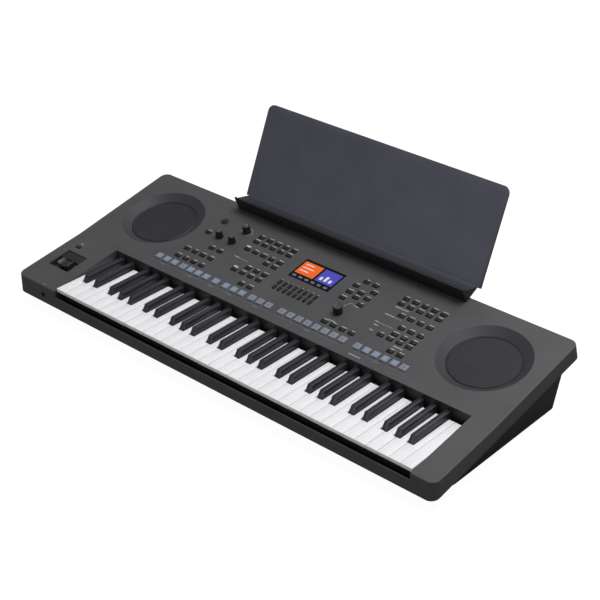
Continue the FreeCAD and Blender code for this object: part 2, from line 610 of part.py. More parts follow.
BUTTONS = {
    "left_function_buttons": columns("left_column", FOUR, "row_lower")
    + columns("left_column", FOUR, "row_front")
    + columns("left_column", (2, 3), "row_pair")
    + columns("left_column", (0,), "row_third"),
    "style_category_buttons": columns("style_column", FIVE, "row_top")
    + columns("style_column", FIVE, "row_second"),
    "style_setup_buttons": columns("style_column", FIVE, "row_third")
    + columns("style_column", LAST_TWO, "row_fourth"),
    "track_buttons": columns("style_column", LAST_THREE, "row_track")
    + columns("style_column", LAST_FOUR, "row_lower")
    + columns("style_column", LAST_TWO, "row_front"),
    "menu_buttons": columns("menu_column", (0.5, 1.5), "row_top")
    + columns("menu_column", OUTER, "menu_row + menu_step")
    + columns("menu_column", OUTER, "menu_row")
    + columns("menu_column", OUTER, "menu_row - menu_step")
    + columns("menu_column", (1,), "menu_row + menu_half_step")
    + columns("menu_column", (1,), "menu_row - menu_half_step"),
    "bank_buttons": columns("bank_column", FOUR, "row_front"),
    "voice_category_buttons": columns("voice_column", FIVE, "row_top")
    + columns("voice_column", FIVE, "row_second"),
    "voice_part_buttons": columns("voice_column", LAST_FOUR, "row_third")
    + columns("voice_column", LAST_THREE, "row_part"),
    "voice_effect_buttons": columns("voice_column", LAST_THREE, "row_effect")
    + columns("voice_column", LAST_FOUR, "row_lower")
    + columns("voice_column", LAST_TWO, "row_front"),
}
SLIM_BUTTONS = {
    "display_buttons": columns("slim_column", EIGHT, "slim_upper", "slim_pitch")
    + columns("slim_column", EIGHT, "slim_lower", "slim_pitch"),
}
PADS = {
    "style_pads": columns("pads_intro", THREE, "row_pads", "pad_pitch")
    + columns("pads_main", FOUR, "row_pads", "pad_pitch")
    + columns("pads_fill", (0,), "row_pads", "pad_pitch")
    + columns("pads_start", THREE, "row_pads", "pad_pitch")
    + columns("pads_song", THREE, "row_pads", "pad_pitch"),
    "memory_pads": columns("pads_memory", EIGHT, "row_pads", "pad_pitch"),
    "phrase_pads": columns("pads_phrase", SIX, "row_pads", "pad_pitch"),
}
PRESSED = [
    (BUTTONS, "button_width", "button_length"),
    (SLIM_BUTTONS, "slim_width", "slim_length"),
    (PADS, "pad_width", "pad_length"),
]
BOARDS = {
    "left_panel_board": (("left_board_start", "left_board_end"), ("board_front", "board_rear")),
    "right_panel_board": (("right_board_start", "right_board_end"), ("board_front", "board_rear")),
    "pad_board": (("pad_board_start", "pad_board_end"), ("pad_board_front", "pad_board_rear")),
}
MODULE_X = around("screen_x", "module_half")
MODULE_Y = ("module_front", "module_rear")
KNOBS = {
    "volume_knob": ("volume_x", "volume_line", "volume_radius", "knob_taper"),
    "left_live_knob": ("live_left_x", "live_line", "live_radius", "knob_taper"),
    "right_live_knob": ("live_right_x", "live_line", "live_radius", "knob_taper"),
    "data_dial": ("dial_x", "dial_line", "dial_radius", "dial_taper"),
}
TONGUES = ("-tongue_x", "0", "tongue_x")
# Rear sockets from left to right: bore and depth; the one without a bore is the square data port.
SOCKETS = [
    ("power_bore", "small_reach"),
    ("jack_bore", "jack_reach"),
    ("jack_bore", "jack_reach"),
    ("small_bore", "small_reach"),
    ("jack_bore", "jack_reach"),
    (None, "small_reach"),
]
# Case screws: place and height where the two bosses meet.
SCREWS = [
    ("screw_left", "screw_front", "boss_split"),
    ("screw_right", "screw_front", "boss_split"),
    ("-screw_side", "screw_middle", "tower_split"),
    ("screw_side", "screw_middle", "tower_split"),
    ("-screw_side", "screw_rear", "tower_split"),
    ("screw_side", "screw_rear", "tower_split"),
    ("-screw_inner_x", "screw_rear", "tower_split"),
    ("screw_inner_x", "screw_rear", "tower_split"),
]


def board_posts(name, x, y):
    """Posts from the panel down to the corners of a board."""
    posts = []
    for column in (f"{x[0]} + post_inset", f"{x[1]} - post_inset"):
        for row in (f"{y[0]} + post_inset", f"{y[1]} - post_inset"):
            start = (column, row, "-board_line")
            posts.append(rod(f"{name}_post", start, "board_line - wall / 2", "post_radius"))
    return posts


def upper_case():
    """Upper half of the case with its dishes, posts, bosses and openings."""
    body = new_body("upper_shell")
    side = [
        ("0", "front_bottom"),
        ("0", "cheek_front_height"),
        ("panel_front_depth", "panel_front_height"),
        ("panel_rear_depth", "case_height"),
        ("case_depth", "case_height - rear_band"),
    ]
    grow(body, "Pad", outline(body, "upper_side", side), "case_width", symmetric=True)
    rear_inner = "panel_rear_depth - wall"
    start = "panel_front_depth + wall"
    band = [
        (start, f"{under_at(start)} + wall"),
        (start, f"{panel_at(start)} - wall"),
        (rear_inner, f"{panel_at(rear_inner)} - wall"),
        ("case_depth - 2 * wall", f"{under_at('case_depth - 2 * wall')} + wall"),
    ]
    grow(body, "Pocket", outline(body, "upper_band", band), "case_width - 2 * wall", symmetric=True)
    lower_end = "rear_rim - wall"
    mouth = [
        (start, "0"),
        (start, f"{under_at(start)} + 2 * wall"),
        (lower_end, f"{under_at(lower_end)} + 2 * wall"),
        (lower_end, "0"),
    ]
    grow(body, "Pocket", outline(body, "upper_mouth", mouth), f"2 * {LOWER_HALF} - 2 * wall", symmetric=True)
    join = "panel_front_depth + 2 * wall"
    cheek = [
        ("wall", f"{under_at('wall')} + wall"),
        ("wall", f"{cheek_at('wall')} - wall"),
        ("panel_front_depth", "panel_front_height - wall"),
        (join, "panel_front_height - wall"),
        (join, f"{under_at(join)} + wall"),
    ]
    cheek_mouth = [
        ("front_rim + 2 * wall", "0"),
        ("front_rim + 2 * wall", f"{under_at('front_rim + 2 * wall')} + 2 * wall"),
        (join, f"{under_at(join)} + 2 * wall"),
        (join, "0"),
    ]
    sides = {
        "left": (
            ("wall - case_width / 2", f"{BAY_LEFT} - wall"),
            (f"wall - {LOWER_HALF}", f"{BAY_LEFT} - wall"),
        ),
        "right": (
            (f"{BAY_RIGHT} + wall", "case_width / 2 - wall"),
            (f"{BAY_RIGHT} + wall", f"{LOWER_HALF} - wall"),
        ),
    }
    for label, (inside, opening) in sides.items():
        for kind, points, x in (("cheek", cheek, inside), ("cheek_mouth", cheek_mouth, opening)):
            sketch = outline(body, f"{label}_{kind}", points, lift=x[0])
            hollow = grow(body, "Pocket", sketch, f"({x[1]}) - ({x[0]})", backwards=True)

    def upright(side, front, rear):
        """Test for the upright edges at both ends of a front and a rear face."""
        def corner(edge):
            ends = [vertex.Point for vertex in edge.Vertexes]
            beside = close(ends[0].x, ends[-1].x) and close(abs(ends[0].x), number(side))
            at_front = all(close(end.y, number(front)) for end in ends)
            at_rear = all(end.y > number(rear) - MATCH for end in ends)
            return beside and (at_front or at_rear)
        return corner

    inner = edges_of(hollow, upright("case_width / 2 - wall", "wall", rear_inner))
    hollow_corners = rounded(body, hollow, inner, "corner_round - wall", "inner_corners")
    outer = edges_of(hollow_corners, upright("case_width / 2", "0", "panel_rear_depth"))
    body_corners = rounded(body, hollow_corners, outer, "corner_round", "upper_corners")
    crease = number("panel_front_depth")

    def upper_edge(edge):
        ends = [vertex.Point for vertex in edge.Vertexes]
        if all(close(end.y, crease) for end in ends):
            return False
        heights = [min(end.z - number(cheek_at(end.y)), end.z - number(panel_at(end.y))) for end in ends]
        return all(abs(height) < RIM_BAND for height in heights)

    rounded(body, body_corners, edges_of(body_corners, upper_edge), "top_round", "upper_rim")
    doc.recompute()

    # Added material below the panel: speaker dishes, board posts and screw bosses.
    hung = []
    for label, centre in SPEAKER_SIDES.items():
        floor = (centre, "speaker_line", "-dish_depth")
        height = "dish_depth - wall / 2"
        dish = cone(f"{label}_dish", floor, height, "dish_floor + wall", "dish_radius + wall")
        seat = (centre, "speaker_line", f"{GRILLE_BACK} - speaker_seat")
        rim = rod(f"{label}_seat", seat, "grille_thick + speaker_seat + wall / 2", "dish_floor + wall")
        hung.append(union(f"{label}_dish_seat", [dish, rim]))
    for name, (x, y) in BOARDS.items():
        hung.extend(board_posts(name, x, y))
    hung.extend(board_posts("display_module", MODULE_X, MODULE_Y))
    hung_group = place(together("upper_hung", hung), "panel_cut")
    bosses = []
    for x, y, split in SCREWS:
        top = cheek_at(y) if y == "screw_front" else panel_at(y)
        height = f"{top} - wall / 2 - {split}"
        bosses.append(rod("upper_boss", (x, y, split), height, "boss_radius - bite"))
    solid = union("upper_solid", [body, hung_group] + bosses)

    # Openings in the panel.
    through = ("-2 * wall", "2 * wall")
    holes = []
    for groups, width, length in PRESSED:
        for spots in groups.values():
            for x, y in spots:
                hole_x = around(x, f"{width} / 2 + play")
                hole_y = around(y, f"{length} / 2 + play")
                holes.append(box("panel_hole", hole_x, hole_y, through))
    for x, y, _, _ in KNOBS.values():
        holes.append(rod("stem_hole", (x, y, through[0]), "4 * wall", "stem_radius + 2 * play"))
    spot = ("standby_x", "standby_line")
    standby = [
        rod("standby_hole", (*spot, through[0]), "4 * wall", "standby_radius + play"),
        rod("standby_recess", (*spot, "-standby_sink"), "2 * standby_sink", "standby_well"),
    ]
    holes.append(union("standby_opening", standby))
    window = [
        box("window_hole", around("screen_x", "screen_width / 2 - screen_rim"),
            around("screen_line", "screen_length / 2 - screen_rim"), through),
        box("window_recess", around("screen_x", "screen_width / 2 + play"),
            around("screen_line", "screen_length / 2 + play"), ("-screen_thick", "wall")),
    ]
    holes.append(union("window_opening", window))
    dish_slope = "((dish_radius - dish_floor) / dish_depth)"
    for label, centre in SPEAKER_SIDES.items():
        axis = (centre, "speaker_line")
        brim = f"dish_radius + bite * {dish_slope}"
        dish = [
            cone(f"{label}_dish_cut", (*axis, "-dish_depth"), "dish_depth + bite", "dish_floor", brim),
            rod(f"{label}_grille_cut", (*axis, GRILLE_BACK), "2 * grille_thick", "dish_floor"),
            rod(f"{label}_cone_cut", (*axis, "-2 * dish_depth"), "2 * dish_depth", "speaker_hole"),
        ]
        holes.append(union(f"{label}_dish_opening", dish))
    panel_holes = place(together("panel_openings", holes), "panel_cut")
    stick = [
        box("stick_opening", ("stick_left", "stick_right"), ("stick_front", "stick_rear"), through),
        box("hold_opening", around("hold_x", "hold_width / 2 + play"),
            around("hold_line", "hold_length / 2 + play"), through),
    ]
    cheek_holes = place(together("cheek_openings", stick), "cheek_cut")

    # Openings in the case: key bay, rest slots, headphone socket and screw holes.
    bay = [
        box("bay", (BAY_LEFT, BAY_RIGHT), ("front_flange", "panel_front_depth"), ("0", "case_height")),
        box("bay_front", (BAY_LEFT, BAY_RIGHT), ("wall", "front_flange + bite"),
            (f"{under_at('front_flange')} + wall", "case_height")),
        box("bay_rail", (BAY_LEFT, BAY_RIGHT), ("-wall", "front_flange"),
            ("front_bottom + rail_height", "case_height")),
        box("bay_rear", (BAY_LEFT, BAY_RIGHT), ("panel_front_depth - bite", "panel_front_depth + 2 * wall"),
            ("0", "fallboard_bottom")),
    ]
    cuts = [union("key_bay", bay)]
    for x in TONGUES:
        slot_x = around(x, "tongue_width / 2 + play")
        slot_y = around("tongue_depth", "tongue_thick / 2 + play")
        cuts.append(box("rest_slot", slot_x, slot_y, ("case_height - 5 * wall", "case_height + wall")))
    phones = ("phones_x", "-wall", "phones_height")
    cuts.append(rod("phones_hole", phones, "3 * wall", "jack_bush + play", "y"))
    for x, y, split in SCREWS:
        start = (x, y, f"{split} - bite")
        cuts.append(rod("boss_hole", start, "screw_reach + 2 * bite", "screw_hole"))
    opened = minus("upper_opened", solid, cuts)
    panelled = minus("upper_panelled", opened, [panel_holes])
    finish(minus("upper_case_shape", panelled, [cheek_holes]), "upper_case")


def lower_case():
    """Lower half of the case with ribs, pillars, bosses and the socket bay."""
    body = new_body("lower_shell")
    profile = [
        ("front_rim", under_at("front_rim")),
        ("toe_depth", "toe_height"),
        ("keel_depth", "foot_height"),
        ("heel_depth", "foot_height"),
        ("rear_rim", under_at("rear_rim")),
    ]
    block = grow(body, "Pad", outline(body, "lower_side", profile), f"2 * {LOWER_HALF}", symmetric=True)
    half_width = number(LOWER_HALF)
    rear_line = number("heel_depth")

    def lower_edge(edge):
        ends = [vertex.Point for vertex in edge.Vertexes]
        outside = all(close(abs(end.x), half_width) for end in ends)
        heights = [end.z - number(under_at(end.y)) for end in ends]
        rim = all(close(height, 0) for height in heights)
        heel = all(close(end.y, rear_line) for end in ends)
        return heel or (outside and not rim)

    rounded(body, block, edges_of(block, lower_edge), "lower_round", "lower_rounding")
    front_inner = "front_rim + 2 * wall"
    toe_fall = f"(({under_at('front_rim')} - toe_height) / (toe_depth - front_rim))"
    hollow = [
        (front_inner, f"{under_at(front_inner)} + 2 * wall"),
        (front_inner, f"{under_at('front_rim')} - 2 * wall * {toe_fall} + wall + 2 * play"),
        ("toe_depth + wall / 2", "toe_height + wall + play"),
        ("keel_depth + wall / 2", "foot_height + wall"),
        ("heel_depth - wall", "foot_height + wall"),
        ("rear_rim - wall", under_at("rear_rim - wall")),
        ("rear_rim - wall", f"{under_at('rear_rim - wall')} + 2 * wall"),
    ]
    sketch = outline(body, "lower_hollow", hollow)
    grow(body, "Pocket", sketch, f"2 * {LOWER_HALF} - 2 * wall", symmetric=True)
    doc.recompute()

    added = []
    floor = "foot_height + wall / 2"
    rib_z = (floor, "foot_height + rib_height")
    for step in RIB_STEPS:
        x = f"{step} * rib_pitch"
        added.append(box("floor_rib", around(x, "wall / 2"), ("rib_front", "rib_rear"), rib_z))
        for y in ("rib_front", "rib_rear - boss_radius"):
            added.append(rod("chassis_pillar", (x, y, floor), f"chassis_bottom - ({floor})", "boss_radius"))
    for x in ("post_inset - main_board_half", "main_board_half - post_inset"):
        for y in ("main_board_front + post_inset", "main_board_rear - post_inset"):
            added.append(rod("main_post", (x, y, floor), f"main_board_height - ({floor})", "post_radius"))
    for x, y, split in SCREWS:
        added.append(rod("lower_boss", (x, y, floor), f"{split} - ({floor})", "boss_radius"))
    bay_walls = box("bay_walls", ("bay_start - wall", "bay_end + wall"), ("bay_face - wall", "rear_rim"),
                    ("bay_low - wall", "bay_high + wall"))
    outer = outline(body, "bay_limit", profile)
    limit = doc.addObject("Part::Extrusion", "bay_limit_block")
    limit.Base = outer
    limit.Solid = True
    limit.Symmetric = True
    limit.DirMode = "Normal"
    bind(limit, LengthFwd=f"2 * {LOWER_HALF}")
    bay_block = doc.addObject("Part::Common", "bay_block")
    bay_block.Base = bay_walls
    bay_block.Tool = limit
    solid = union("lower_solid", [body, bay_block] + added)

    cuts = [box("bay_cut", ("bay_start", "bay_end"), ("bay_face", "case_depth"), ("bay_low", "bay_high"))]
    for index, (bore_radius, reach) in enumerate(SOCKETS):
        x = f"socket_start + {index} * socket_pitch"
        start = (x, "bay_face - 2 * wall", "socket_height")
        if bore_radius:
            cuts.append(rod("socket_hole", start, "3 * wall", "jack_bush + play", "y"))
        else:
            port_x = around(x, "port_width / 2 + play")
            port_y = ("bay_face - 2 * wall", "bay_face + wall")
            cuts.append(box("port_hole", port_x, port_y, around("socket_height", "port_height / 2 + play")))
    for x, y, split in SCREWS:
        cuts.append(rod("screw_pass", (x, y, "0"), f"{split} + bite", "screw_hole"))
        cuts.append(rod("screw_sink", (x, y, "0"), f"{split} - screw_drop", "screw_well"))
    for x in ("-foot_x", "foot_x"):
        for y in ("foot_front", "foot_rear"):
            cuts.append(rod("foot_seat", (x, y, "0"), "foot_height + foot_sink", "foot_radius + play"))
    finish(minus("lower_case_shape", solid, [union("lower_cuts", cuts)]), "lower_case")


def small_case_parts():
    """Rubber feet and case screws."""
    feet = []
    for x in ("-foot_x", "foot_x"):
        for y in ("foot_front", "foot_rear"):
            spot = (x, y, "0")
            feet.append(cone("foot", spot, "foot_height + foot_sink", "foot_radius - bite", "foot_radius"))
    finish(together("rubber_feet_shape", feet), "rubber_feet")
    screws = []
    for x, y, split in SCREWS:
        seat = f"{split} - screw_drop"
        under = (x, y, f"{seat} - screw_head_height")
        head = rod("screw_top", under, "screw_head_height", "screw_head")
        start = (x, y, f"{seat} - bite")
        shank = rod("screw_shank", start, "screw_drop + screw_reach + bite", "screw_radius")
        drive = rod("screw_drive", under, "screw_head_height / 2", "screw_socket")
        screws.append(minus("screw", union("screw_solid", [head, shank]), [drive]))
    finish(together("case_screws_shape", screws), "case_screws")


# Keys of one octave: label, first white key boundary, shift of the black keys left and right of it.
WHITE_KEYS = [
    ("keys_c", 0, None, "-outer_shift"),
    ("keys_d", 1, "-outer_shift", "outer_shift"),
    ("keys_e", 2, "outer_shift", None),
    ("keys_f", 3, None, "-wide_shift"),
    ("keys_g", 4, "-wide_shift", "0"),
    ("keys_a", 5, "0", "wide_shift"),
    ("keys_b", 6, "wide_shift", None),
]
BLACK_KEYS = [
    ("keys_c_sharp", 1, "-outer_shift"),
    ("keys_d_sharp", 2, "outer_shift"),
    ("keys_f_sharp", 4, "-wide_shift"),
    ("keys_g_sharp", 5, "0"),
    ("keys_a_sharp", 6, "wide_shift"),
]


def key_arm(body, label, centre, start):
    """Arm of a key and the nose that turns in the saddle."""
    profile = [
        (start, KEY_BOTTOM),
        (f"{start} + 2 * nose_radius", "arm_bottom"),
        ("pivot_depth", "arm_bottom"),
        ("pivot_depth", "arm_top"),
        (start, "arm_top"),
    ]
    lift = f"{centre} - arm_width / 2"
    arm = grow(body, "Pad", outline(body, f"{label}_arm", profile, lift=lift), "arm_width")
    nose = ring(body, f"{label}_nose", ("pivot_depth", "pivot_height"), "nose_radius", lift=lift)
    return [arm, grow(body, "Pad", nose, "arm_width")]


def repeat(body, label, features, sketch):
    """Repeat the features of one key in every octave, along a sketch's first axis."""
    doc.recompute()
    pattern = body.newObject("PartDesign::LinearPattern", f"{label}_octaves")
    pattern.Originals = features
    pattern.Direction = (sketch, ["H_Axis"])
    bind(pattern, Length=f"{WHITES_PER_OCTAVE * (OCTAVES - 1)} * key_pitch")
    pattern.Occurrences = OCTAVES
    body.Tip = pattern


def white_keys(label, place_in_octave, left_shift, right_shift):
    """All white keys of one name, each with the notches of its neighbours."""
    body = new_body(f"{label}_body")
    boundary = f"({KEY_LEFT} + {place_in_octave} * key_pitch)"
    x_left = f"{boundary} + key_gap / 2"
    x_right = f"{boundary} + key_pitch - key_gap / 2"
    tail_left = f"{boundary} + {left_shift} + notch_half" if left_shift else x_left
    tail_right = f"{boundary} + key_pitch + {right_shift} - notch_half" if right_shift else x_right
    head_end = "key_front + head_length"
    points = [(x_left, "key_front"), (x_right, "key_front")]
    if right_shift:
        points += [(x_right, head_end), (tail_right, head_end)]
    points += [(tail_right, "plate_end"), (tail_left, "plate_end")]
    if left_shift:
        points += [(tail_left, head_end), (x_left, head_end)]
    plan = outline(body, f"{label}_plan", points, "XY_Plane", KEY_BOTTOM)
    plate = grow(body, "Pad", plan, "key_thick")
    arms = key_arm(body, label, f"(({tail_left}) + ({tail_right})) / 2", "arm_start")
    inner = [
        (f"{x_left} + key_side", "key_front + key_side"),
        (f"{x_right} - key_side", "key_front + key_side"),
        (f"{x_right} - key_side", f"{head_end} - key_side"),
        (f"{x_left} + key_side", f"{head_end} - key_side"),
    ]
    sketch = outline(body, f"{label}_hollow", inner, "XY_Plane", KEY_BOTTOM)
    hollow = grow(body, "Pocket", sketch, "key_thick - key_skin", backwards=True)
    repeat(body, label, [plate] + arms + [hollow], plan)
    return body


def last_key():
    """Highest white key, which has no black neighbour."""
    body = new_body("last_key_body")
    boundary = f"({KEY_RIGHT} - key_pitch)"
    x_left = f"{boundary} + key_gap / 2"
    x_right = f"{boundary} + key_pitch - key_gap / 2"
    points = [(x_left, "key_front"), (x_right, "key_front"), (x_right, "plate_end"), (x_left, "plate_end")]
    grow(body, "Pad", outline(body, "last_plan", points, "XY_Plane", KEY_BOTTOM), "key_thick")
    key_arm(body, "last", f"(({x_left}) + ({x_right})) / 2", "arm_start")
    inner = [
        (f"{x_left} + key_side", "key_front + key_side"),
        (f"{x_right} - key_side", "key_front + key_side"),
        (f"{x_right} - key_side", "key_front + head_length - key_side"),
        (f"{x_left} + key_side", "key_front + head_length - key_side"),
    ]
    sketch = outline(body, "last_hollow", inner, "XY_Plane", KEY_BOTTOM)
    grow(body, "Pocket", sketch, "key_thick - key_skin", backwards=True)
    return body


def black_keys(label, boundary_number, shift):
    """All black keys of one name: a loft with leaning sides and front, and an arm."""
    body = new_body(f"{label}_body")
    centre = f"({KEY_LEFT} + {boundary_number} * key_pitch + {shift})"
    half = "sharp_foot / 2"
    sections = []
    foot = (KEY_BOTTOM, "0", "0")
    top = ("key_top + sharp_rise", "sharp_draft", "sharp_slope")
    for level, draft, front in (foot, top):
        points = [
            (f"{centre} - {half} + {draft}", f"sharp_front + {front}"),
            (f"{centre} + {half} - {draft}", f"sharp_front + {front}"),
            (f"{centre} + {half} - {draft}", "sharp_end"),
            (f"{centre} - {half} + {draft}", "sharp_end"),
        ]
        sections.append(outline(body, f"{label}_section", points, "XY_Plane", level))
    doc.recompute()
    block = body.newObject("PartDesign::AdditiveLoft", f"{label}_block")
    block.Profile = sections[0]
    block.Sections = [sections[1]]
    doc.recompute()
    arms = key_arm(body, label, centre, "arm_start")
    repeat(body, label, [block] + arms, sections[0])
    finish(body, label)


def keyboard():
    """Chassis with its pivot saddle, contacts, felt and all keys."""
    body = new_body("chassis_body")
    plate_top = "chassis_bottom + chassis_plate"
    ridge_top = f"{plate_top} + ridge_height"
    profile = [
        ("chassis_front", "chassis_bottom"),
        ("chassis_rear", "chassis_bottom"),
        ("chassis_rear", "saddle_top"),
        ("pivot_depth", "saddle_top"),
        ("pivot_depth", plate_top),
        ("contact_rear", plate_top),
        ("contact_rear", ridge_top),
        ("contact_rear - ridge_width", ridge_top),
        ("contact_rear - ridge_width", plate_top),
        ("contact_front + ridge_width", plate_top),
        ("contact_front + ridge_width", ridge_top),
        ("contact_front", ridge_top),
        ("contact_front", plate_top),
        ("stop_end", plate_top),
        ("stop_end", "stop_top"),
        ("stop_start", "stop_top"),
        ("stop_start", plate_top),
        ("chassis_front", plate_top),
    ]
    grow(body, "Pad", outline(body, "chassis_side", profile, lift=KEY_LEFT), "key_span")
    saddle = ring(body, "saddle", ("pivot_depth", "pivot_height"), "nose_radius + nose_play", lift=KEY_LEFT)
    grow(body, "Pocket", saddle, "key_span", backwards=True)
    finish(body, "key_chassis")

    length = (KEY_LEFT, KEY_RIGHT)
    felt_y = ("stop_start + felt_inset", "stop_end - felt_inset")
    finish(box("stop_felt", length, felt_y, ("stop_top", "stop_top + felt_thick")), "key_stop_felt")
    board_y = ("contact_front", "contact_rear")
    finish(box("contact_board", length, board_y, (ridge_top, CONTACT_TOP)), "key_contact_board")
    rubber_y = ("rubber_front", "rubber_front + rubber_width")
    strip = [box("rubber_strip", length, rubber_y, (CONTACT_TOP, f"{CONTACT_TOP} + rubber_base"))]
    for index in range(WHITE_COUNT):
        x = f"{KEY_LEFT} + {index} * key_pitch + key_pitch / 2"
        spot = (x, "rubber_front + rubber_width / 2")
        z = (f"{CONTACT_TOP} + rubber_base / 2", "rubber_top")
        strip.append(drafted("rubber_dome", spot, "dome_width / 2", "rubber_width / 2 - play", z, "bite"))
    finish(union("contact_rubber", strip), "key_contact_rubber")

    for spec in WHITE_KEYS:
        key = white_keys(*spec)
        if spec[0] == WHITE_KEYS[0][0]:
            key = together("keys_c_all", [key, last_key()])
        finish(key, spec[0])
    for spec in BLACK_KEYS:
        black_keys(*spec)


def speakers():
    """Grille, basket with magnet, and cone of both speakers."""
    seat = f"{GRILLE_BACK} - speaker_seat"
    for label, centre in SPEAKER_SIDES.items():
        axis = (centre, "speaker_line")
        grille = rod(f"{label}_grille", (*axis, GRILLE_BACK), "grille_thick", "dish_floor - play")
        finish(grille, f"{label}_speaker_grille", "panel")
        under = f"{seat} - basket_flange"
        bottom = f"{under} - basket_depth"
        outside = [
            rod(f"{label}_flange", (*axis, under), "basket_flange", "dish_floor"),
            cone(f"{label}_basket", (*axis, bottom), "basket_depth", "basket_neck", "speaker_hole"),
            rod(f"{label}_magnet", (*axis, f"{bottom} - magnet_height"), "magnet_height", "magnet_radius"),
        ]
        inside = [
            cone(f"{label}_basket_cut", (*axis, f"{bottom} + wall"), "basket_depth - wall",
                 "basket_neck - wall", "speaker_hole - wall"),
            rod(f"{label}_flange_cut", (*axis, f"{under} - bite"), "basket_flange + 2 * bite",
                "speaker_hole - wall"),
        ]
        room = union(f"{label}_frame_cut", inside)
        frame = minus(f"{label}_frame", union(f"{label}_frame_solid", outside), [room])
        finish(frame, f"{label}_speaker_frame", "panel")
        rim = f"{seat} - cone_depth"
        coil_height = f"({rim}) - ({bottom}) - wall + bite"
        edge = (*axis, f"{seat} - cone_skin")
        skin = [
            cone(f"{label}_skin", (*axis, rim), "cone_depth", "cone_neck", "cone_radius"),
            rod(f"{label}_coil", (*axis, f"{bottom} + wall"), coil_height, "cone_neck - wall"),
            rod(f"{label}_surround", edge, "cone_skin", "speaker_hole - wall - play"),
        ]
        above = (*axis, f"{rim} + cone_skin")
        hollow = cone(f"{label}_skin_cut", above, "cone_depth", "cone_neck", "cone_radius")
        shape = minus(f"{label}_cone_shape", union(f"{label}_cone_solid", skin), [hollow])
        finish(shape, f"{label}_speaker_cone", "panel")


def caps(name, spots, width, length, rise="cap_rise"):
    """Buttons with a retaining lip under the panel."""
    made = []
    for spot in spots:
        cap = drafted(f"{name}_cap", spot, f"{width} / 2", f"{length} / 2", ("-cap_depth", rise), "cap_draft")
        lip_x = around(spot[0], f"{width} / 2 + lip")
        lip_y = around(spot[1], f"{length} / 2 + lip")
        edge = box(f"{name}_lip", lip_x, lip_y, ("-cap_depth", "-wall - play"))
        made.append(union(f"{name}_one", [cap, edge]))
    return made


def panel_controls():
    """Buttons, pads, boards, display, knobs and standby button."""
    for groups, width, length in PRESSED:
        for label, spots in groups.items():
            finish(together(f"{label}_shape", caps(label, spots, width, length)), label, "panel")
    spot = ("standby_x", "standby_line")
    standby = [
        rod("standby_cap", (*spot, "-cap_depth"), "cap_depth + standby_rise", "standby_radius"),
        rod("standby_lip", (*spot, "-cap_depth"), "cap_depth - wall - play", "standby_radius + lip"),
    ]
    finish(union("standby_shape", standby), "standby_button", "panel")

    board_z = ("-board_line - board_thick", "-board_line")
    for label, (x, y) in BOARDS.items():
        finish(box(f"{label}_shape", x, y, board_z), label, "panel")
    carrier = box("display_carrier", MODULE_X, MODULE_Y, board_z)
    glass_z = ("-board_line", "-screen_thick - play")
    glass = box("display_glass", around("screen_x", "screen_width / 2 - glass_rim"),
                around("screen_line", "screen_length / 2 - glass_rim"), glass_z)
    finish(union("display_shape", [carrier, glass]), "display_module", "panel")
    window = box("display_pane", around("screen_x", "screen_width / 2"),
                 around("screen_line", "screen_length / 2"), ("-screen_thick", "0"))
    finish(window, "display_window", "panel")

    pots = []
    pot_z = ("-board_line", "-wall - play")
    skirt_height = "knob_height - knob_lift"
    for label, (x, y, radius, taper) in KNOBS.items():
        case = box(f"{label}_pot", around(x, "pot_half"), around(y, "pot_half"), pot_z)
        bore = rod(f"{label}_bore", (x, y, "-board_line - bite"), "2 * board_line", "stem_radius + play")
        pots.append(minus(f"{label}_pot_bored", case, [bore]))
        skirt = cone(f"{label}_skirt", (x, y, "knob_lift"), skirt_height, radius, f"{radius} * {taper}")
        soft = doc.addObject("Part::Fillet", f"{label}_soft")
        soft.Base = skirt
        doc.recompute()
        top = number("knob_height")
        round_size = number("knob_round")
        edges = enumerate(skirt.Shape.Edges, 1)
        soft.Edges = [
            (index, round_size, round_size)
            for index, edge in edges
            if edge.Closed and close(edge.CenterOfMass.z, top)
        ]
        stem = rod(f"{label}_stem", (x, y, "-stem_end"), "stem_end + 2 * knob_lift", "stem_radius")
        knob = union(f"{label}_solid", [soft, stem])
        if label == "data_dial":
            spot = (x, f"{y} + {radius} / 2", "knob_height - mark_depth")
            mark = rod("dial_dimple", spot, "bite", "dimple_radius")
        else:
            mark = box(f"{label}_mark", around(x, "mark_width / 2"), (y, f"{y} + {radius}"),
                       ("knob_height - mark_depth", "knob_height + bite"))
        finish(minus(f"{label}_shape", knob, [mark]), label, "panel")
    finish(together("panel_pots_shape", pots), "panel_pots", "panel")


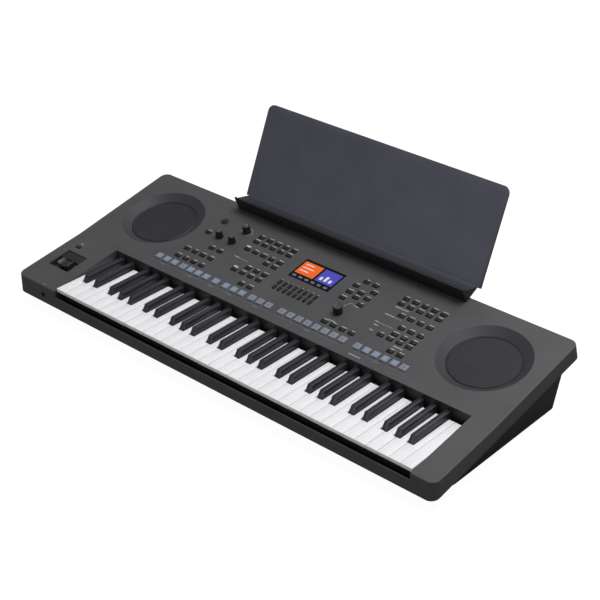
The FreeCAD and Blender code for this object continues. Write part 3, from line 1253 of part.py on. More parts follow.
def joystick():
    """Housing, cradle that tips to and fro, lever that tips sideways, and the hold button."""
    x = "stick_x"
    y = "stick_line"
    pivot = "-stick_pivot"
    opening_x = ("stick_left", "stick_right")
    opening_y = ("stick_front", "stick_rear")
    shell = box("housing_shell", ("stick_left - stick_skin", "stick_right + stick_skin"),
                ("stick_front - stick_skin", "stick_rear + stick_skin"), ("-stick_depth", "-wall"))
    room_z = ("stick_skin - stick_depth", "-stick_floor - stick_skin")
    room = box("housing_room", opening_x, opening_y, room_z)
    well = box("housing_well", opening_x, opening_y, ("-stick_floor", "0"))
    slot_z = ("-stick_floor - 2 * stick_skin", "0")
    slot = box("housing_slot", around(x, "shaft_slot"), around(y, "shaft_slot"), slot_z)
    shell_cut = minus("housing_cut", shell, [union("housing_spaces", [room, well, slot])])
    plate = box("housing_plate", ("stick_left + play", "stick_right - play"),
                ("stick_plate", "stick_rear - play"), ("-stick_floor - bite", "-stick_plate_sink"))
    lugs = []
    holes = []
    offset = "(cradle_half + play + lug_thick / 2)"
    for name, centre in (("left", f"{x} - {offset}"), ("right", f"{x} + {offset}")):
        lugs.append(box(f"{name}_lug", around(centre, "lug_thick / 2"), around(y, "lug_half"),
                        ("stick_skin / 2 - stick_depth", "-stick_floor - stick_skin / 2")))
        start = (f"{centre} - lug_thick", y, pivot)
        holes.append(rod(f"{name}_lug_hole", start, "2 * lug_thick", "trunnion_radius + play", "x"))
    housing = minus("housing", union("housing_solid", [shell_cut, plate] + lugs), [union("lug_holes", holes)])
    finish(housing, "joystick_housing", "cheek")

    block = box("cradle_block", around(x, "cradle_half"), around(y, "cradle_side"),
                (f"{pivot} - cradle_drop", f"{pivot} + cradle_rise"))
    reach = "(cradle_half + trunnion_reach)"
    axle = rod("cradle_axle", (f"{x} - {reach}", y, pivot), f"2 * {reach}", "trunnion_radius", "x")
    hollow = box("cradle_hollow", around(x, "cradle_half - cradle_wall"),
                 around(y, "cradle_side - cradle_wall"), ("-2 * stick_depth", "0"))
    start = (x, f"{y} - 2 * cradle_side", pivot)
    pin_hole = rod("cradle_pin_hole", start, "4 * cradle_side", "pin_radius + play", "y")
    cradle = minus("cradle", union("cradle_solid", [block, axle]), [union("cradle_cuts", [hollow, pin_hole])])
    finish(cradle, "joystick_cradle", "cheek")

    thumb_z = ("-thumb_under", "thumb_top")
    thumb = box("thumb_block", around(x, "thumb_half"), around(y, "thumb_side"), thumb_z)
    start = (x, f"{y} - 2 * thumb_side", "thumb_low + thumb_curve")
    dip = rod("thumb_dip", start, "4 * thumb_side", "thumb_curve", "y")
    saddle = minus("thumb_saddle", thumb, [dip])
    soft = doc.addObject("Part::Fillet", "thumb_soft")
    soft.Base = saddle
    doc.recompute()
    under = number("-thumb_under")
    round_size = number("thumb_round")
    soft.Edges = [
        (index, round_size, round_size)
        for index, edge in enumerate(saddle.Shape.Edges, 1)
        if all(close(abs(vertex.X - number(x)), number("thumb_half")) for vertex in edge.Vertexes)
        and not all(close(vertex.Z, under) for vertex in edge.Vertexes)
    ]
    start = (x, y, f"{pivot} - shaft_radius")
    shaft = rod("lever_shaft", start, "stick_pivot + shaft_radius", "shaft_radius")
    pin = rod("lever_pin", (x, f"{y} - cradle_side", pivot), "2 * cradle_side", "pin_radius", "y")
    finish(union("lever", [soft, shaft, pin]), "joystick_lever", "cheek")

    hold = caps("hold", [("hold_x", "hold_line")], "hold_width", "hold_length", "hold_rise")
    finish(hold[0], "hold_button", "cheek")


def sockets():
    """Headphone socket at the front, rear sockets with their board, and the main board."""
    x = "phones_x"
    z = "phones_height"
    bush = rod("phones_bush", (x, "0", z), "wall + bite", "jack_bush", "y")
    flange = rod("phones_flange", (x, "wall", z), "2 * bite", "jack_flange", "y")
    case_y = ("wall + bite", "wall + jack_length")
    case = box("phones_case", around(x, "jack_width / 2"), case_y, around(z, "jack_height / 2"))
    bore = rod("phones_bore", (x, "-bite", z), "jack_reach + bite", "jack_bore", "y")
    finish(minus("phones", union("phones_solid", [bush, flange, case]), [bore]), "headphone_jack")

    face = "bay_face - wall"
    made = []
    z = "socket_height"
    for index, (bore_radius, reach) in enumerate(SOCKETS):
        x = f"socket_start + {index} * socket_pitch"
        case_y = (f"{face} - jack_length", face)
        case = box("socket_case", around(x, "jack_width / 2"), case_y, around(z, "jack_height / 2"))
        if bore_radius:
            bush = rod("socket_bush", (x, f"{face} - bite", z), "wall + bite", "jack_bush", "y")
            hole = rod("socket_bore", (x, f"bay_face - {reach}", z), f"{reach} + bite", bore_radius, "y")
        else:
            bush_y = (f"{face} - bite", "bay_face")
            bush = box("port_bush", around(x, "port_width / 2"), bush_y, around(z, "port_height / 2"))
            hole_y = (f"bay_face - {reach}", "bay_face + bite")
            room_x = around(x, "port_width / 2 - port_wall")
            hole = box("port_room", room_x, hole_y, around(z, "port_height / 2 - port_wall"))
        made.append(minus("socket", union("socket_solid", [case, bush]), [hole]))
    finish(together("rear_sockets_shape", made), "rear_sockets")

    under = "socket_height - jack_height / 2"
    board_x = ("bay_start", "bay_end")
    board_y = (f"{face} - jack_length - post_inset", f"{face} - play")
    finish(box("jack_board_shape", board_x, board_y, (f"{under} - board_thick", under)), "jack_board")

    top = "main_board_height + board_thick"
    parts = [box("main_plate", around("0", "main_board_half"), ("main_board_front", "main_board_rear"),
                 ("main_board_height", top))]
    middle = "(main_board_front + main_board_rear) / 2"
    for step in CHIP_STEPS:
        chip_x = around(f"{step} * chip_pitch", "chip_side / 2")
        chip_y = around(middle, "chip_side / 2")
        parts.append(box("main_chip", chip_x, chip_y, (top, f"{top} + chip_height")))
    finish(union("main_board_shape", parts), "main_board")


def music_rest():
    """Leaning plate with a hollow tray, end walls and three tongues."""
    body = new_body("rest_body")
    lean_x = "sin(rest_lean)"
    lean_z = "cos(rest_lean)"
    top = (f"rest_depth + rest_length * {lean_x}", f"rest_height + rest_length * {lean_z}")
    back = (f"rest_thick * {lean_z}", f"rest_thick * {lean_x}")
    plate = [
        ("rest_depth", "rest_height"),
        (f"rest_depth + {back[0]}", f"rest_height - {back[1]}"),
        (f"{top[0]} + {back[0]}", f"{top[1]} - {back[1]}"),
        top,
    ]
    leaf = grow(body, "Pad", outline(body, "rest_plate", plate), "2 * rest_half", symmetric=True)
    top_height = number(top[1]) - number("rest_thick")

    def upper_corner(edge):
        ends = [vertex.Point for vertex in edge.Vertexes]
        return close(ends[0].x, ends[-1].x) and all(end.z > top_height for end in ends)

    rounded(body, leaf, edges_of(leaf, upper_corner), "rest_round", "rest_corners")
    foot_front = ("rest_foot_front", panel_at("rest_foot_front"))
    foot_rear = ("rest_foot_rear", panel_at("rest_foot_rear"))
    skin = "rest_skin"
    inner_front = (f"rest_foot_front + {skin}", f"{foot_front[1]} + {skin} + 2 * play")
    inner_top = (f"tray_front + 2 * {skin}", f"tray_top - tray_lip - {skin}")
    inner_rear = (f"rest_depth + {back[0]} - bite", f"rest_height - {back[1]} - bite")
    tray = [
        ("tray_front", "tray_top"),
        foot_front,
        foot_rear,
        (foot_rear[0], f"{foot_rear[1]} + {skin}"),
        inner_front,
        inner_top,
        inner_rear,
        (f"rest_depth + {back[0]}", f"rest_height - {back[1]}"),
        (f"rest_depth + {lean_x}", f"rest_height + {lean_z}"),
        (f"tray_front + 2 * {skin}", "tray_top - tray_lip"),
        (f"tray_front + {skin}", "tray_top"),
    ]
    grow(body, "Pad", outline(body, "rest_tray", tray), "2 * tray_half", symmetric=True)
    filling = [
        (f"tray_front + {skin} / 2", f"tray_top - 2 * {skin}"),
        (f"rest_foot_front + {skin} / 2", f"{foot_front[1]} + {skin} / 2"),
        ("rest_foot_rear - bite", f"{foot_rear[1]} + {skin} / 2"),
        (f"rest_depth + {back[0]} - bite", f"rest_height - {back[1]} - bite / 2"),
        ("rest_depth", f"rest_height - {skin} / 4"),
        (f"tray_front + 2 * {skin}", f"tray_top - tray_lip - {skin} / 2"),
    ]
    for label, lift in (("left", "-tray_half"), ("right", f"tray_half - {skin}")):
        grow(body, "Pad", outline(body, f"rest_{label}_end", filling, lift=lift), skin)
    doc.recompute()
    tongues = []
    surface = panel_at("tongue_depth")
    tongue_y = around("tongue_depth", "tongue_thick / 2")
    tongue_z = (f"{surface} - tongue_reach", f"{surface} + {skin}")
    for x in TONGUES:
        tongues.append(box("tongue", around(x, "tongue_width / 2"), tongue_y, tongue_z))
    finish(union("rest_shape", [body] + tongues), "music_rest")


upper_case()
lower_case()
small_case_parts()
keyboard()
speakers()
panel_controls()
joystick()
sockets()
music_rest()
doc.recompute()

for item in doc.Objects:
    if "Invalid" in item.State or "Error" in item.State:
        raise RuntimeError(f"{item.Name} ({item.Label}) did not compute: {item.State}")
for item in FINISHED:
    if item.Shape.isNull() or not item.Shape.isValid():
        raise RuntimeError(f"{item.Label} has no valid shape")

os.makedirs("parts", exist_ok=True)
for item in FINISHED:
    item.Shape.exportStep(f"parts/{item.Label}.step")
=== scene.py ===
import json
import math

import bmesh
import bpy
from bpy.props import FloatProperty, FloatVectorProperty, IntProperty, PointerProperty
from mathutils import Matrix, Vector


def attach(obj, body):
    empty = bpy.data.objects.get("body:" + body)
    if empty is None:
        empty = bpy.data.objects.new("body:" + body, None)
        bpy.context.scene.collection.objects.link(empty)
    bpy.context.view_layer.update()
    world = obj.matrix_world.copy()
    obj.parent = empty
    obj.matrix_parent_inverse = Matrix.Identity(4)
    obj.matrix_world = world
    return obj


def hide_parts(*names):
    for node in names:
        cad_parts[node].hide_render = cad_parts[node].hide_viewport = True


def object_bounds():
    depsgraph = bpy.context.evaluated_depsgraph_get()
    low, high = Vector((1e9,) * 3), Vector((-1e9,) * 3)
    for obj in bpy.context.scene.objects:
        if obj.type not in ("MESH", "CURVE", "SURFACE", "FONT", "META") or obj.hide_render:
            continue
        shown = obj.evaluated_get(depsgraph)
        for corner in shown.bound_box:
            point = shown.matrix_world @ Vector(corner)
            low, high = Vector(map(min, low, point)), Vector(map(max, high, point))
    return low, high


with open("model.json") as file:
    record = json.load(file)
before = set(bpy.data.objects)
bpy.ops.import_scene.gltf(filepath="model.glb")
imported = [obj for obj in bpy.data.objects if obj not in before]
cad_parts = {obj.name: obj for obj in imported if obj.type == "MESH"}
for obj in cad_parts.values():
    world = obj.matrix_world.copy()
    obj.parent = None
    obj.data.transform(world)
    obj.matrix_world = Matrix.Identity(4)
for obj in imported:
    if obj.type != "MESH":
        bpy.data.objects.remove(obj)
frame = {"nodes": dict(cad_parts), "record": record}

bl_info = {
    "name": "Arranger keyboard looks",
    "version": (1, 0, 0),
    "blender": (4, 2, 0),
    "location": "3D View > Sidebar > Keyboard",
    "description": "Finishes and fine pieces of an arranger keyboard with music rest",
    "category": "Object",
}

CAD_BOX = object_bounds()
NODES = frame["nodes"]
MM = 0.001
OWNER = {node: body for body, members in frame["record"]["behaviour"]["bodies"].items() for node in members}
SLOTS = {part["node"]: part["material_slot"] for part in frame["record"]["subparts"]}

# The camera of the photograph, in the part's own frame.
CAMERA_FROM_FRONT_CENTRE = Vector((1.5247, -1.4683, 1.4382))
CAMERA_AZIMUTH = math.radians(41.5)
CAMERA_ELEVATION = math.radians(30.46)
CAMERA_LENS = 87.19
CAMERA_SENSOR = 36.0
CAMERA_REACH = 50

# Lamps of the studio: name, place and width in metres, power in watts, colour.
WHITE = (1, 1, 1)
COLD = (0.6, 0.68, 1.0)
LAMPS = (
    ("top_light", (0.7, 0.5, 3.3), 2.2, 88, WHITE),
    ("rear_light", (-0.3, 2.8, 2.4), 1.8, 14, WHITE),
    ("side_light", (3.2, 0.2, 1.2), 1.6, 1.2, COLD),
    ("front_light", (-0.6, -3.2, 1.2), 1.6, 9, WHITE),
)
LAMP_TARGET = Vector((0, 0, 0.1))
# Floor and world: what the camera sees is a white backdrop, other rays meet a grey floor and a dim sky.
FLOOR_WIDTH = 24
FLOOR_TONE = (0.2, 0.2, 0.2)
FLOOR_GLOW = 1.92
FLOOR_GLOW_SHARE = 0.5
SKY_LIGHT = 0.25
SKY_BACKDROP = 1.0

# Cosines that tell faces apart: upright, facing an axis, square to it, in one plane, slopes of the dishes.
UPRIGHT = 0.5
FACING = 0.8
SQUARE = 0.95
ONE_PLANE = 0.9999
DISH_SLOPES = (0.3, 0.995)
# Points closer than this are the same, in metres.
MATCH = 0.01 * MM
# Rounding, in metres and degrees: points to weld, faces to join, edges to round, smooth shading.
WELD = 0.002 * MM
FLAT_ANGLE = 0.5
EDGE_ANGLE = 40
SMOOTH_ANGLE = 35
# Steps round a wire, a grille, a printed ring and a socket; bevel of a plate as a share of its thickness.
WIRE_STEPS = 10
GRILLE_STEPS = 72
PRINT_STEPS = 24
SOCKET_STEPS = 40
PLATE_BEVEL = 0.4
# Knobs: share of the height where the crown begins; shares of the foot for the reach of an end face, the
# inset of the stem and half the pointer; share of the crown where the pointer begins.
CROWN_LINE = 0.8
END_REACH = 0.5
STEM_INSET = 0.65
POINTER_HALF = 0.08
POINTER_START = 0.35

# Pads with blue light, counted from the left; buttons with a small lamp, counted row by row from the front.
LIT_PADS = {"style_pads": (0, 1, 2, 4, 5, 6, 7, 8, 9, 10), "phrase_pads": (1, 2, 3, 4)}
LAMP_BUTTONS = {"left_function_buttons": {1: "red"}, "voice_effect_buttons": {4: "red", 7: "amber"}}
LAMP_TONES = {"red": (0.075, 0.03, 0.025), "amber": (0.12, 0.055, 0.03)}
LAMP_GLOW = 0.05
# Light of a pad: its middle on the window, then distance from there and tone.
GLOW_MIDDLE = (0.5, 0.55, 0)
GLOW_STOPS = ((0.05, (0.14, 0.24, 0.43)), (0.34, (0.21, 0.3, 0.42)), (0.6, (0.2, 0.23, 0.29)))
# Dashes of the printed bars beside the buttons, in turn.
DASHES = (5, 4, 6, 3, 5, 6, 4)
# Rear edges of buttons closer than this are in one row, in metres.
ROW_MATCH = 1.0 * MM
# Printed headings: millimetres right of and above the middle of the display, dashes, line after them.
HEADINGS = (
    (-169.8, -38.4, 6, 22),
    (186.2, -20.0, 10, 16),
    (177.4, -45.1, 4, 32),
    (182.2, -53.4, 5, 0),
    (182.6, -68.3, 4, 0),
    (194.3, 5.1, 15, 0),
    (252.8, -81.2, 10, 0),
    (120.4, -33.0, 5, 0),
    (201.1, -137.9, 13, 0),
    (108.0, -86.7, 8, 0),
)
# Pale tags and the corners of the thin line beside the dial, in the same way.
TAGS = ((-171.4, -1.1), (-150.7, -60.6))
DIAL_LINE = ((100.7, -42.3), (101.4, -36.5), (104.6, -31.5), (108.8, -29.6), (112.6, -29.4))
# Marks on the left cheek: millimetres from the middle of the hold button.
HOLD_MARK = (-1.2, 10.3)
HOLD_DASHES = 3
PHONES_MARK = (37.5, -121.6)
# Dashes below a run of pads and how far down, in mark heights; ticks round the volume knob, sweep in degrees.
PAD_DASHES = 6
PAD_DASH_DROP = 1.5
TICKS = 15
TICK_SWEEP = 270

# The picture on the display, as shares of its width and height: left, lower, right and upper edge.
WARM_FIELD = (0.04, 0.26, 0.49, 0.9)
COOL_FIELD = (0.54, 0.26, 0.96, 0.9)
LIST_BARS = ((0.09, 0.76, 0.3, 0.8), (0.09, 0.59, 0.36, 0.63), (0.09, 0.42, 0.3, 0.46))
CHART_BARS = ((0.6, 0.36, 0.66, 0.52), (0.71, 0.36, 0.77, 0.62), (0.82, 0.36, 0.88, 0.52))
FIRST_SOFT_KEY = (0.06, 0.08, 0.15, 0.17)
SOFT_KEYS = 6
SOFT_KEY_PITCH = 0.155
# Shelf of the music rest with painted highlights and shade of its steps: share of its depth where a band
# begins and the brightness painted there, then the share of the rest's height below which its faces lie.
SHELF_LIGHT_STEPS = ((0.0, 0.65), (0.3, 1.8), (0.37, 0.95), (0.63, 2.0), (0.7, 1.3), (0.9, 2.3))
SHELF_HEIGHT_SHARE = 0.25


def size(name, description, default):
    """Length property in metres."""
    return FloatProperty(name=name, description=description, default=default, unit="LENGTH", precision=5)


def colour(name, description, default):
    """Colour property given as a display hex value."""
    channels = [int(default[index:index + 2], 16) / 255 for index in (0, 2, 4)]
    linear = [c / 12.92 if c <= 0.04045 else ((c + 0.055) / 1.055) ** 2.4 for c in channels]
    looks = {"subtype": "COLOR", "min": 0, "max": 1}
    return FloatVectorProperty(name=name, description=description, default=linear, **looks)


class KeyboardSizes(bpy.types.PropertyGroup):
    """Sizes of the fine pieces."""

    key_edge: size("White key edge", "Rounding of the white keys", 0.7 * MM)
    sharp_edge: size("Black key edge", "Rounding of the black keys", 1.1 * MM)
    button_edge: size("Button edge", "Rounding of the buttons", 0.6 * MM)
    pad_edge: size("Pad edge", "Rounding of the pads", 1.1 * MM)
    rest_edge: size("Rest edge", "Rounding of the music rest", 0.9 * MM)
    small_edge: size("Small edge", "Rounding of the joystick and the feet", 0.5 * MM)
    grille_pitch: size("Grille pitch", "Distance between the grille holes", 2.5 * MM)
    grille_web: size("Grille web", "Web between the grille holes", 1.2 * MM)
    # The black ring round a grille is painted shade for the gap between grille and dish.
    grille_ring: size("Grille ring", "Thickness of the ring round a grille", 2.0 * MM)
    mark_height: size("Mark height", "Height of the printed bars", 2.0 * MM)
    mark_lift: size("Mark lift", "Thickness of the printed bars", 0.06 * MM)
    tick_length: size("Tick length", "Length of the ticks round the volume knob", 2.0 * MM)
    tick_width: size("Tick width", "Width of the ticks round the volume knob", 1.0 * MM)
    tick_gap: size("Tick gap", "Distance from the volume knob to its ticks", 3.2 * MM)
    mark_gap: size("Mark gap", "Distance from the collar of a button to its bar", 1.3 * MM)
    dash_pitch: size("Dash pitch", "Pitch of the dashes of a printed bar", 2.0 * MM)
    dash_width: size("Dash width", "Width of a dash", 1.5 * MM)
    line_width: size("Line width", "Width of the printed lines", 0.6 * MM)
    pad_line: size("Pad line", "Width of the lines below the pads", 0.4 * MM)
    pad_line_gap: size("Pad line gap", "Distance from the pads to the lines below them", 4.2 * MM)
    pad_run_gap: size("Pad run gap", "Gap between pads at which a new run begins", 3.5 * MM)
    pad_mark: size("Pad mark", "Mark on a pad", 3.2 * MM)
    pad_light: size("Pad light", "Lit window of a pad", 9.0 * MM)
    window_lift: size("Window lift", "Height of the lit window above its pad", 0.05 * MM)
    window_round: size("Window round", "Corner rounding of the lit window", 1.5 * MM)
    lamp_lift: size("Lamp lift", "Thickness of a button lamp", 0.15 * MM)
    field_lift: size("Field lift", "Thickness of the fields of the display", 0.05 * MM)
    bar_lift: size("Bar lift", "Thickness of the bars of the display", 0.08 * MM)
    phones_ring: size("Phones ring", "Radius of the mark above the headphone socket", 1.6 * MM)
    phones_wire: size("Phones wire", "Thickness of the mark above the headphone socket", 0.25 * MM)
    hold_rise: size("Hold rise", "Top of the hold button above the cheek", 2.0 * MM)
    pointer_sink: size("Pointer sink", "Depth of a pointer in its knob", 0.2 * MM)
    rib_inset: size("Rib inset", "Slope of the sides of a groove", 0.1 * MM)
    lamp_length: size("Lamp length", "Length of a button lamp", 5.0 * MM)
    lamp_width: size("Lamp width", "Width of a button lamp", 2.6 * MM)
    ring_wire: size("Ring wire", "Thickness of the socket rings", 0.5 * MM)
    socket_ring: size("Socket ring", "Radius of the socket rings", 4.3 * MM)
    knob_ribs: IntProperty(name="Knob ribs", description="Ribs round a knob", default=24, min=8)
    rib_depth: size("Rib depth", "Depth of the grooves of a knob", 0.35 * MM)
    knob_gap: size("Knob gap", "Gap between a knob and the panel", 0.6 * MM)
    knob_edge: size("Knob edge", "Rounding of the top of a knob", 0.9 * MM)
    tag_width: size("Tag width", "Width of the pale tags", 10.0 * MM)
    tag_height: size("Tag height", "Height of the pale tags", 3.4 * MM)
    dish_reach: size("Dish reach", "Radius within which the case counts as speaker dish", 92.0 * MM)
    arm_line: size("Arm line", "Depth where the key arms begin, from the case front", 150.5 * MM)


class KeyboardColours(bpy.types.PropertyGroup):
    """Colours of the finishes."""

    panel: colour("Panel", "Upper case", "4a4a4c")
    # Painted shade: the dishes are darker than the panel because their slopes lie in shade.
    dish: colour("Dishes", "Speaker dishes", "353539")
    lower: colour("Lower case", "Lower case", "1f2026")
    rest: colour("Music rest", "Music rest", "53545f")
    shelf: colour("Shelf", "Shelf of the music rest", "2f3035")
    white_key: colour("White keys", "White keys", "f5f3f6")
    black_key: colour("Black keys", "Black keys", "26262b")
    button: colour("Buttons", "Buttons", "151517")
    pad: colour("Pads", "Pads", "7d828e")
    mark: colour("Marks", "Printed bars", "b8b8ba")
    warm: colour("Warm field", "Warm field of the display", "f26a2a")
    cool: colour("Cool field", "Cool field of the display", "4f4fb8")


def sizes():
    """Size settings of the scene."""
    return bpy.context.scene.keyboard_sizes


def colours():
    """Colour settings of the scene."""
    return bpy.context.scene.keyboard_colours


# Materials.
def new_material(name):
    """New material with its nodes and its principled shader."""
    material = bpy.data.materials.new(name)
    material.use_nodes = True
    nodes = material.node_tree.nodes
    return material, nodes, nodes["Principled BSDF"]


def join(material, source, output, target, socket):
    """Link two sockets of a material."""
    material.node_tree.links.new(source.outputs[output], target.inputs[socket])


def grain(material, nodes, scale, detail=4.0):
    """Noise on the piece's own coordinates."""
    place = nodes.new("ShaderNodeTexCoord")
    noise = nodes.new("ShaderNodeTexNoise")
    noise.inputs["Scale"].default_value = scale
    noise.inputs["Detail"].default_value = detail
    join(material, place, "Object", noise, "Vector")
    return noise


def graded(nodes, stops, interpolation="LINEAR"):
    """Colour ramp with the given stops: place along the ramp and tone."""
    node = nodes.new("ShaderNodeValToRGB")
    ramp = node.color_ramp
    ramp.interpolation = interpolation
    ramp.elements.remove(ramp.elements[1])
    for index, (place, tone) in enumerate(stops):
        stop = ramp.elements.new(place) if index else ramp.elements[0]
        stop.position = place
        stop.color = [*(min(1, c) for c in tone), 1]
    return node


def tinted(material, nodes, shader, noise, tone, spread):
    """Colour that wanders a little around its tone."""
    stops = ((0.3, [c * (1 - spread) for c in tone]), (0.7, [c * (1 + spread) for c in tone]))
    ramp = graded(nodes, stops)
    join(material, noise, "Fac", ramp, "Fac")
    join(material, ramp, "Color", shader, "Base Color")


def uneven(material, nodes, shader, noise, low, high):
    """Roughness between two values."""
    spread = nodes.new("ShaderNodeMapRange")
    spread.inputs["To Min"].default_value = low
    spread.inputs["To Max"].default_value = high
    join(material, noise, "Fac", spread, "Value")
    join(material, spread, "Result", shader, "Roughness")


def raised(material, nodes, shader, noise, strength, depth):
    """Fine relief of a moulded surface."""
    bump = nodes.new("ShaderNodeBump")
    bump.inputs["Strength"].default_value = strength
    bump.inputs["Distance"].default_value = depth
    join(material, noise, "Fac", bump, "Height")
    join(material, bump, "Normal", shader, "Normal")


def moulded(name, tone, rough, texture=1600.0, relief=0.25, spread=0.08, specular=0.4):
    """Moulded plastic with a fine grain and faint patches."""
    material, nodes, shader = new_material(name)
    shader.inputs["Specular IOR Level"].default_value = specular
    patches = grain(material, nodes, 14.0)
    fine = grain(material, nodes, texture, 2.0)
    tinted(material, nodes, shader, patches, tone, spread)
    uneven(material, nodes, shader, fine, rough - 0.06, rough + 0.06)
    raised(material, nodes, shader, fine, relief, 0.05 * MM)
    return material


def ivory(name, tone):
    """Key plastic that lets a little light in."""
    material = moulded(name, tone, 0.3, 900.0, 0.04, 0.015, 0.5)
    shader = material.node_tree.nodes["Principled BSDF"]
    shader.inputs["Subsurface Weight"].default_value = 0.35
    shader.inputs["Subsurface Radius"].default_value = (1, 1, 1)
    shader.inputs["Subsurface Scale"].default_value = 4 * MM
    return material


def glowing(name, tone, strength):
    """Small lamp window."""
    material, nodes, shader = new_material(name)
    patches = grain(material, nodes, 900.0)
    tinted(material, nodes, shader, patches, tone, 0.15)
    shader.inputs["Emission Color"].default_value = [*tone, 1]
    shader.inputs["Emission Strength"].default_value = strength
    shader.inputs["Roughness"].default_value = 0.3
    return material


def metal(name, tone, rough):
    """Plain metal with fine scratches."""
    material, nodes, shader = new_material(name)
    shader.inputs["Metallic"].default_value = 1.0
    lines = grain(material, nodes, 700.0)
    tinted(material, nodes, shader, lines, tone, 0.12)
    uneven(material, nodes, shader, lines, rough - 0.08, rough + 0.08)
    raised(material, nodes, shader, lines, 0.1, 0.02 * MM)
    return material


def lit_field(name, tone):
    """Field of the display: dark gloss with its own light and a faint raster."""
    material, nodes, shader = new_material(name)
    raster = grain(material, nodes, 2500.0, 1.0)
    tinted(material, nodes, shader, raster, [0.2 * c for c in tone], 0.06)
    shader.inputs["Roughness"].default_value = 0.3
    shader.inputs["Specular IOR Level"].default_value = 0.15
    shader.inputs["Emission Color"].default_value = [*tone, 1]
    shader.inputs["Emission Strength"].default_value = 0.75
    return material


def pad_glow(name):
    """Window of a lit pad: blue middle, paler round it, grey at the rim."""
    material, nodes, shader = new_material(name)
    place = nodes.new("ShaderNodeTexCoord")
    offset = nodes.new("ShaderNodeVectorMath")
    offset.operation = "DISTANCE"
    offset.inputs[1].default_value = GLOW_MIDDLE
    ramp = graded(nodes, GLOW_STOPS)
    join(material, place, "UV", offset, 0)
    join(material, offset, "Value", ramp, "Fac")
    join(material, ramp, "Color", shader, "Base Color")
    join(material, ramp, "Color", shader, "Emission Color")
    shader.inputs["Emission Strength"].default_value = 0.05
    shader.inputs["Roughness"].default_value = 0.4
    return material


def light_banded(name, tone, start, end):
    """Moulded plastic in bands from front to rear, painted brighter and darker for the highlights and shade
    of the shelf's steps.
    """
    material = moulded(name, tone, 0.5)
    nodes = material.node_tree.nodes
    place = nodes.new("ShaderNodeTexCoord")
    split = nodes.new("ShaderNodeSeparateXYZ")
    span = nodes.new("ShaderNodeMapRange")
    span.inputs["From Min"].default_value = start
    span.inputs["From Max"].default_value = end
    ramp = graded(nodes, [(begin, [shade * c for c in tone]) for begin, shade in SHELF_LIGHT_STEPS], "CONSTANT")
    join(material, place, "Object", split, "Vector")
    join(material, split, "Y", span, "Value")
    join(material, span, "Result", ramp, "Fac")
    join(material, ramp, "Color", nodes["Principled BSDF"], "Base Color")
    return material


FINISHES = {}


def ink(name):
    """Print of one tone, made when first asked for."""
    tones = {
        "print_pale": colours().mark,
        "print_faint": (0.19, 0.19, 0.195),
        "print_dim": (0.12, 0.125, 0.15),
    }
    if name not in FINISHES:
        FINISHES[name] = moulded(name, tones[name], 0.6, 2500.0, 0.05, 0.12, 0.2)
    return FINISHES[name]


def finish_of(slot):
    """Material of a record slot, made when first asked for."""
    tones = colours()
    # Maker, name and tone, then roughness, scale of the grain, its relief, patchiness, specular level.
    recipes = {
        "panel_grey": (moulded, "panel_grain", tones.panel, 0.52),
        "case_dark": (moulded, "lower_case_grain", tones.lower, 0.55),
        "chassis_grey": (moulded, "chassis_plastic", (0.03, 0.03, 0.03), 0.6),
        "felt_grey": (moulded, "stop_felt", (0.08, 0.08, 0.085), 0.9, 900.0, 0.8, 0.25, 0.1),
        "board_green": (moulded, "board_lacquer", (0.012, 0.07, 0.03), 0.3, 300.0, 0.15, 0.2),
        "rubber_grey": (moulded, "contact_rubber", (0.2, 0.2, 0.2), 0.7),
        "grille_black": (moulded, "grille_paint", (0.031, 0.032, 0.036), 0.5, 1200.0),
        "speaker_steel": (metal, "basket_steel", (0.12, 0.12, 0.12), 0.5),
        "cone_black": (moulded, "cone_paper", (0.012, 0.012, 0.012), 0.85, 500.0, 0.5, 0.2, 0.2),
        "screen_pane": (moulded, "window_gloss", (0.004, 0.004, 0.005), 0.2, 200.0, 0.02, 0.05, 0.15),
        "socket_black": (moulded, "socket_plastic", (0.012, 0.012, 0.012), 0.4),
        "pot_metal": (metal, "pot_casing", (0.4, 0.4, 0.42), 0.4),
        "housing_black": (moulded, "housing_plastic", (0.016, 0.016, 0.018), 0.45),
        "lever_black": (moulded, "lever_plastic", (0.02, 0.02, 0.024), 0.38),
        "foot_rubber": (moulded, "foot_rubber", (0.012, 0.012, 0.012), 0.8, 900.0, 0.4),
        "screw_steel": (metal, "screw_black", (0.08, 0.08, 0.085), 0.4),
        "key_white": (ivory, "key_ivory", tones.white_key),
        "key_black": (moulded, "key_ebony", tones.black_key, 0.34, 1500.0, 0.12, 0.12, 0.6),
        "button_dark": (moulded, "button_rubber", tones.button, 0.5, 1500.0, 0.15, 0.1),
        "pad_grey": (moulded, "pad_silicone", tones.pad, 0.45, 1200.0, 0.12, 0.06),
        "knob_black": (moulded, "knob_plastic", (0.02, 0.02, 0.022), 0.42),
        "rest_grey": (moulded, "rest_grain", tones.rest, 0.5),
    }
    if slot not in FINISHES:
        maker, *settings = recipes[slot]
        FINISHES[slot] = maker(*settings)
    return FINISHES[slot]


def dress(piece, *materials):
    """Give a piece its materials."""
    piece.data.materials.clear()
    for material in materials:
        piece.data.materials.append(material)


# Modelling helpers.
def start_clean():
    """Leave edit mode and deselect everything."""
    if bpy.context.object and bpy.context.object.mode != "OBJECT":
        bpy.ops.object.mode_set(mode="OBJECT")
    bpy.ops.object.select_all(action="DESELECT")


def activate(piece):
    """Make one piece the only selected and active one."""
    start_clean()
    piece.select_set(True)
    bpy.context.view_layer.objects.active = piece


def settle(piece, place=None):
    """Move the mesh to its place, so that its object sits at the origin."""
    bpy.context.view_layer.update()
    if place is not None:
        piece.matrix_world = place @ piece.matrix_world
    activate(piece)
    bpy.ops.object.transform_apply(location=True, rotation=True, scale=True)


def smooth(piece):
    """Smooth shading up to an angle."""
    activate(piece)
    bpy.ops.object.shade_smooth_by_angle(angle=math.radians(SMOOTH_ANGLE))


